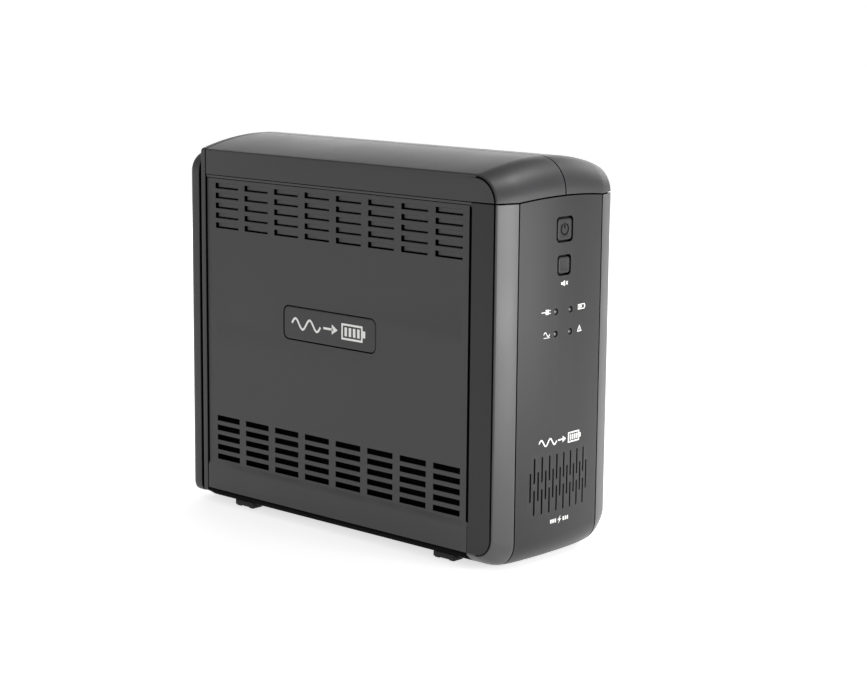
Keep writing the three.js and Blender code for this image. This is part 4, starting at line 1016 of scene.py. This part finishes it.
def rating_mark(mark, z=24.2):
    """Bolt between two rows of bars."""
    mark.fill([(0.9, z + 2.3), (-1.6, z - 0.3), (-0.2, z - 0.3)])
    mark.fill([(-0.9, z - 2.3), (1.6, z + 0.3), (0.2, z + 0.3)])
    mark.fill([(-0.2, z - 0.3), (0.2, z + 0.3), (0.55, z + 0.9)])
    for side in (-1, 1):
        for step in range(3):
            u = side * (3.6 + 1.9 * step)
            mark.fill(rectangle(u - 0.55, z - 1.1, u + 0.55, z + 1.1))


def front_marks():
    power_mark()
    for draw in (mute_mark, online_mark, battery_mark, regulation_mark, overload_mark, front_mark,
                 rating_mark):
        mark = Marks()
        draw(mark)
        mark.build(draw.__name__, on_front, INK_LIFT, "case", "fascia_grey")


# ---------- CAD nodes that stay ----------
def dress(name, material, width):
    """Merges a CAD node's facets, rounds its edges and gives it its material."""
    obj = nodes[name]
    weld = obj.modifiers.new("Weld", "WELD")
    weld.merge_threshold = 2e-6
    flat = obj.modifiers.new("Flat", "DECIMATE")
    flat.decimate_type = "DISSOLVE"
    flat.angle_limit = math.radians(1)
    if width:
        soften(obj, width, 30)
    obj.data.materials.clear()
    obj.data.materials.append(material)
    for polygon in obj.data.polygons:
        polygon.material_index = 0
        polygon.use_smooth = True


def dress_nodes():
    finishes = {
        "battery_door": (CHARCOAL, 0.3), "buzzer": (BLACK, 0.2), "power_switch": (BLACK, 0.15),
        "mute_switch": (BLACK, 0.15), "control_board": (BOARD, 0.1), "main_board": (BOARD, 0.1),
        "inlet_housing": (BLACK, 0.25), "breaker_collar": (BLACK, 0.3), "breaker_button": (BLACK, 0.6),
        "usb_port": (STEEL, 0.12), "network_jacks": (BLACK, 0.2), "battery_case": (BATTERY, 0.8),
        "battery_terminal_positive": (BRASS, 0.1), "battery_terminal_negative": (BRASS, 0.1),
        "component_shelf": (SHEET, 0.2), "transformer_core": (CORE, 0.3),
        "transformer_coil": (WINDING, 0.5), "transformer_bracket": (SHEET, 0.2),
        "heat_sink_1": (ALUMINIUM, 0.2), "heat_sink_2": (ALUMINIUM, 0.2), "relay_1": (BLACK, 0.4),
        "relay_2": (BLACK, 0.4), "capacitor_1": (SLEEVE, 0.4), "capacitor_2": (SLEEVE, 0.4),
        "fuse": (BRASS, 0.3), "battery_lead_positive": (RED, 0), "battery_lead_negative": (BLACK_LEAD, 0),
        "signal_lead": (BLACK_LEAD, 0),
    }
    for i in (1, 2, 3, 4):
        finishes[f"case_screw_{i}"] = (SCREW, 0.2)
    for i in (1, 2, 3):
        finishes[f"inlet_pin_{i}"] = (BRASS, 0.2)
    for i in range(1, 9):
        finishes[f"outlet_{i}"] = (BLACK, 0.3)
    for end in ("front", "rear"):
        for side in ("left", "right"):
            finishes[f"foot_{end}_{side}"] = (RUBBER, 0.4)
    for name, (material, width) in finishes.items():
        dress(name, material, width)


# ---------- camera, floor and light ----------
YAW, PITCH, ROLL = math.radians(47.74), math.radians(10.03), math.radians(0.55)
ANCHOR = Vector((0, FRONT_Y, 31))            # a point low on the front
CAMERA_SHIFT = Vector((66, 93.7, 1167))      # from the camera to it: right, down and ahead
FOCAL, FRAME_WIDTH, SENSOR = 2053, 867, 36   # the focal length is in pixels of the frame's width


def set_camera():
    upright = Matrix(((1, 0, 0), (0, 0, -1), (0, 1, 0)))
    turn = Matrix.Rotation(YAW, 3, "Z")
    tip = Matrix.Rotation(PITCH, 3, "X")
    lean = Matrix.Rotation(ROLL, 3, "Z")
    rows = lean @ tip @ upright @ turn
    place_mm = ANCHOR - rows.transposed() @ CAMERA_SHIFT
    right, down, ahead = rows[0], rows[1], rows[2]
    basis = Matrix((right, -down, -ahead)).transposed()
    data = bpy.data.cameras.new("camera")
    data.sensor_width = SENSOR
    data.lens = FOCAL * SENSOR / FRAME_WIDTH
    data.clip_start, data.clip_end = 0.05, 50
    camera = bpy.data.objects.new("camera", data)
    camera.matrix_world = Matrix.Translation(place_mm * MM) @ basis.to_4x4()
    bpy.context.scene.collection.objects.link(camera)
    bpy.context.scene.camera = camera


def set_floor():
    faces = Faces()
    reach = 6000
    faces.grid([[(x, y, 0) for x in spread(-reach, reach, 8)] for y in spread(-reach, reach, 8)])
    floor = new_object("floor", faces, [])
    material = bpy.data.materials.new("pale floor")
    material.use_nodes = True
    shader = material.node_tree.nodes["Principled BSDF"]
    shader.inputs["Base Color"].default_value = (0.80, 0.80, 0.80, 1)
    shader.inputs["Roughness"].default_value = 0.9
    shader.inputs["Specular IOR Level"].default_value = 0.1
    shader.inputs["Emission Color"].default_value = (1, 1, 1, 1)
    shader.inputs["Emission Strength"].default_value = 0.66
    floor.data.materials.append(material)


def softbox(name, azimuth, elevation, distance, width, height, power, aim=(0, 0, 0.12)):
    """Area light on a sphere round the case. Azimuth 0 is in front, 90 on the right."""
    a, e = math.radians(azimuth), math.radians(elevation)
    back = Vector((math.sin(a) * math.cos(e), -math.cos(a) * math.cos(e), math.sin(e)))
    data = bpy.data.lights.new(name, "AREA")
    data.shape = "RECTANGLE"
    data.size, data.size_y, data.energy = width, height, power
    light = bpy.data.objects.new(name, data)
    light.location = Vector(aim) + back * distance
    light.rotation_mode = "QUATERNION"
    light.rotation_quaternion = back.to_track_quat("Z", "Y")
    light.visible_camera = False
    bpy.context.scene.collection.objects.link(light)


# Name, azimuth, elevation, distance, width, height, watts and, if not the middle, the point aimed at.
SOFTBOXES = (
    ("strip", 10, 0, 0.42, 0.10, 0.20, 1.0, (-0.043, -0.12, 0.12)),
    ("fascia", 34, 0, 0.5, 0.12, 0.22, 0.62, (-0.03, -0.12, 0.125)),
    ("cap", 42, 57, 0.8, 0.2, 0.2, 4.0, (-0.04, -0.12, 0.2)),
    ("right", 92, 22, 1.6, 0.5, 0.8, 3.8),
    ("back", 132, 16, 1.7, 1.6, 0.7, 9.4),
    ("left", -130, 15, 1.6, 0.8, 0.8, 1.1),
    ("edge", -32, 18, 0.9, 0.12, 0.5, 0.8, (-0.05, -0.12, 0.14)),
)


def set_light():
    world = bpy.data.worlds.new("studio")
    world.use_nodes = True
    tree = world.node_tree
    background = tree.nodes["Background"]
    background.inputs["Color"].default_value = (1, 1, 1, 1)
    background.inputs["Strength"].default_value = 0.45
    bright = tree.nodes.new("ShaderNodeBackground")
    bright.inputs["Color"].default_value = (1, 1, 1, 1)
    bright.inputs["Strength"].default_value = 1.0
    path = tree.nodes.new("ShaderNodeLightPath")
    either = tree.nodes.new("ShaderNodeMixShader")
    tree.links.new(path.outputs["Is Camera Ray"], either.inputs["Fac"])
    tree.links.new(background.outputs[0], either.inputs[1])
    tree.links.new(bright.outputs[0], either.inputs[2])
    tree.links.new(either.outputs[0], tree.nodes["World Output"].inputs["Surface"])
    bpy.context.scene.world = world
    for box in SOFTBOXES:
        softbox(*box)
    bpy.context.scene.view_settings.view_transform = "Standard"


for side in (-1, 1):
    half_shell(side)
    vent_backing(side)
    vent_liner(side)
    groove_tongue(side)
    badge(side)
bezel()
fascia()
rear_panel()
joint_liners()
screw_cups()
front_button("power_cap", POWER, "power_button")
front_button("mute_cap", MUTE, "mute_button")
for led_name, (led_x, led_z) in zip(("led_online", "led_battery", "led_regulation", "led_overload"),
                                    led_places()):
    led(led_name, led_x, led_z)
front_marks()
dress_nodes()
set_floor()
set_light()
set_camera()
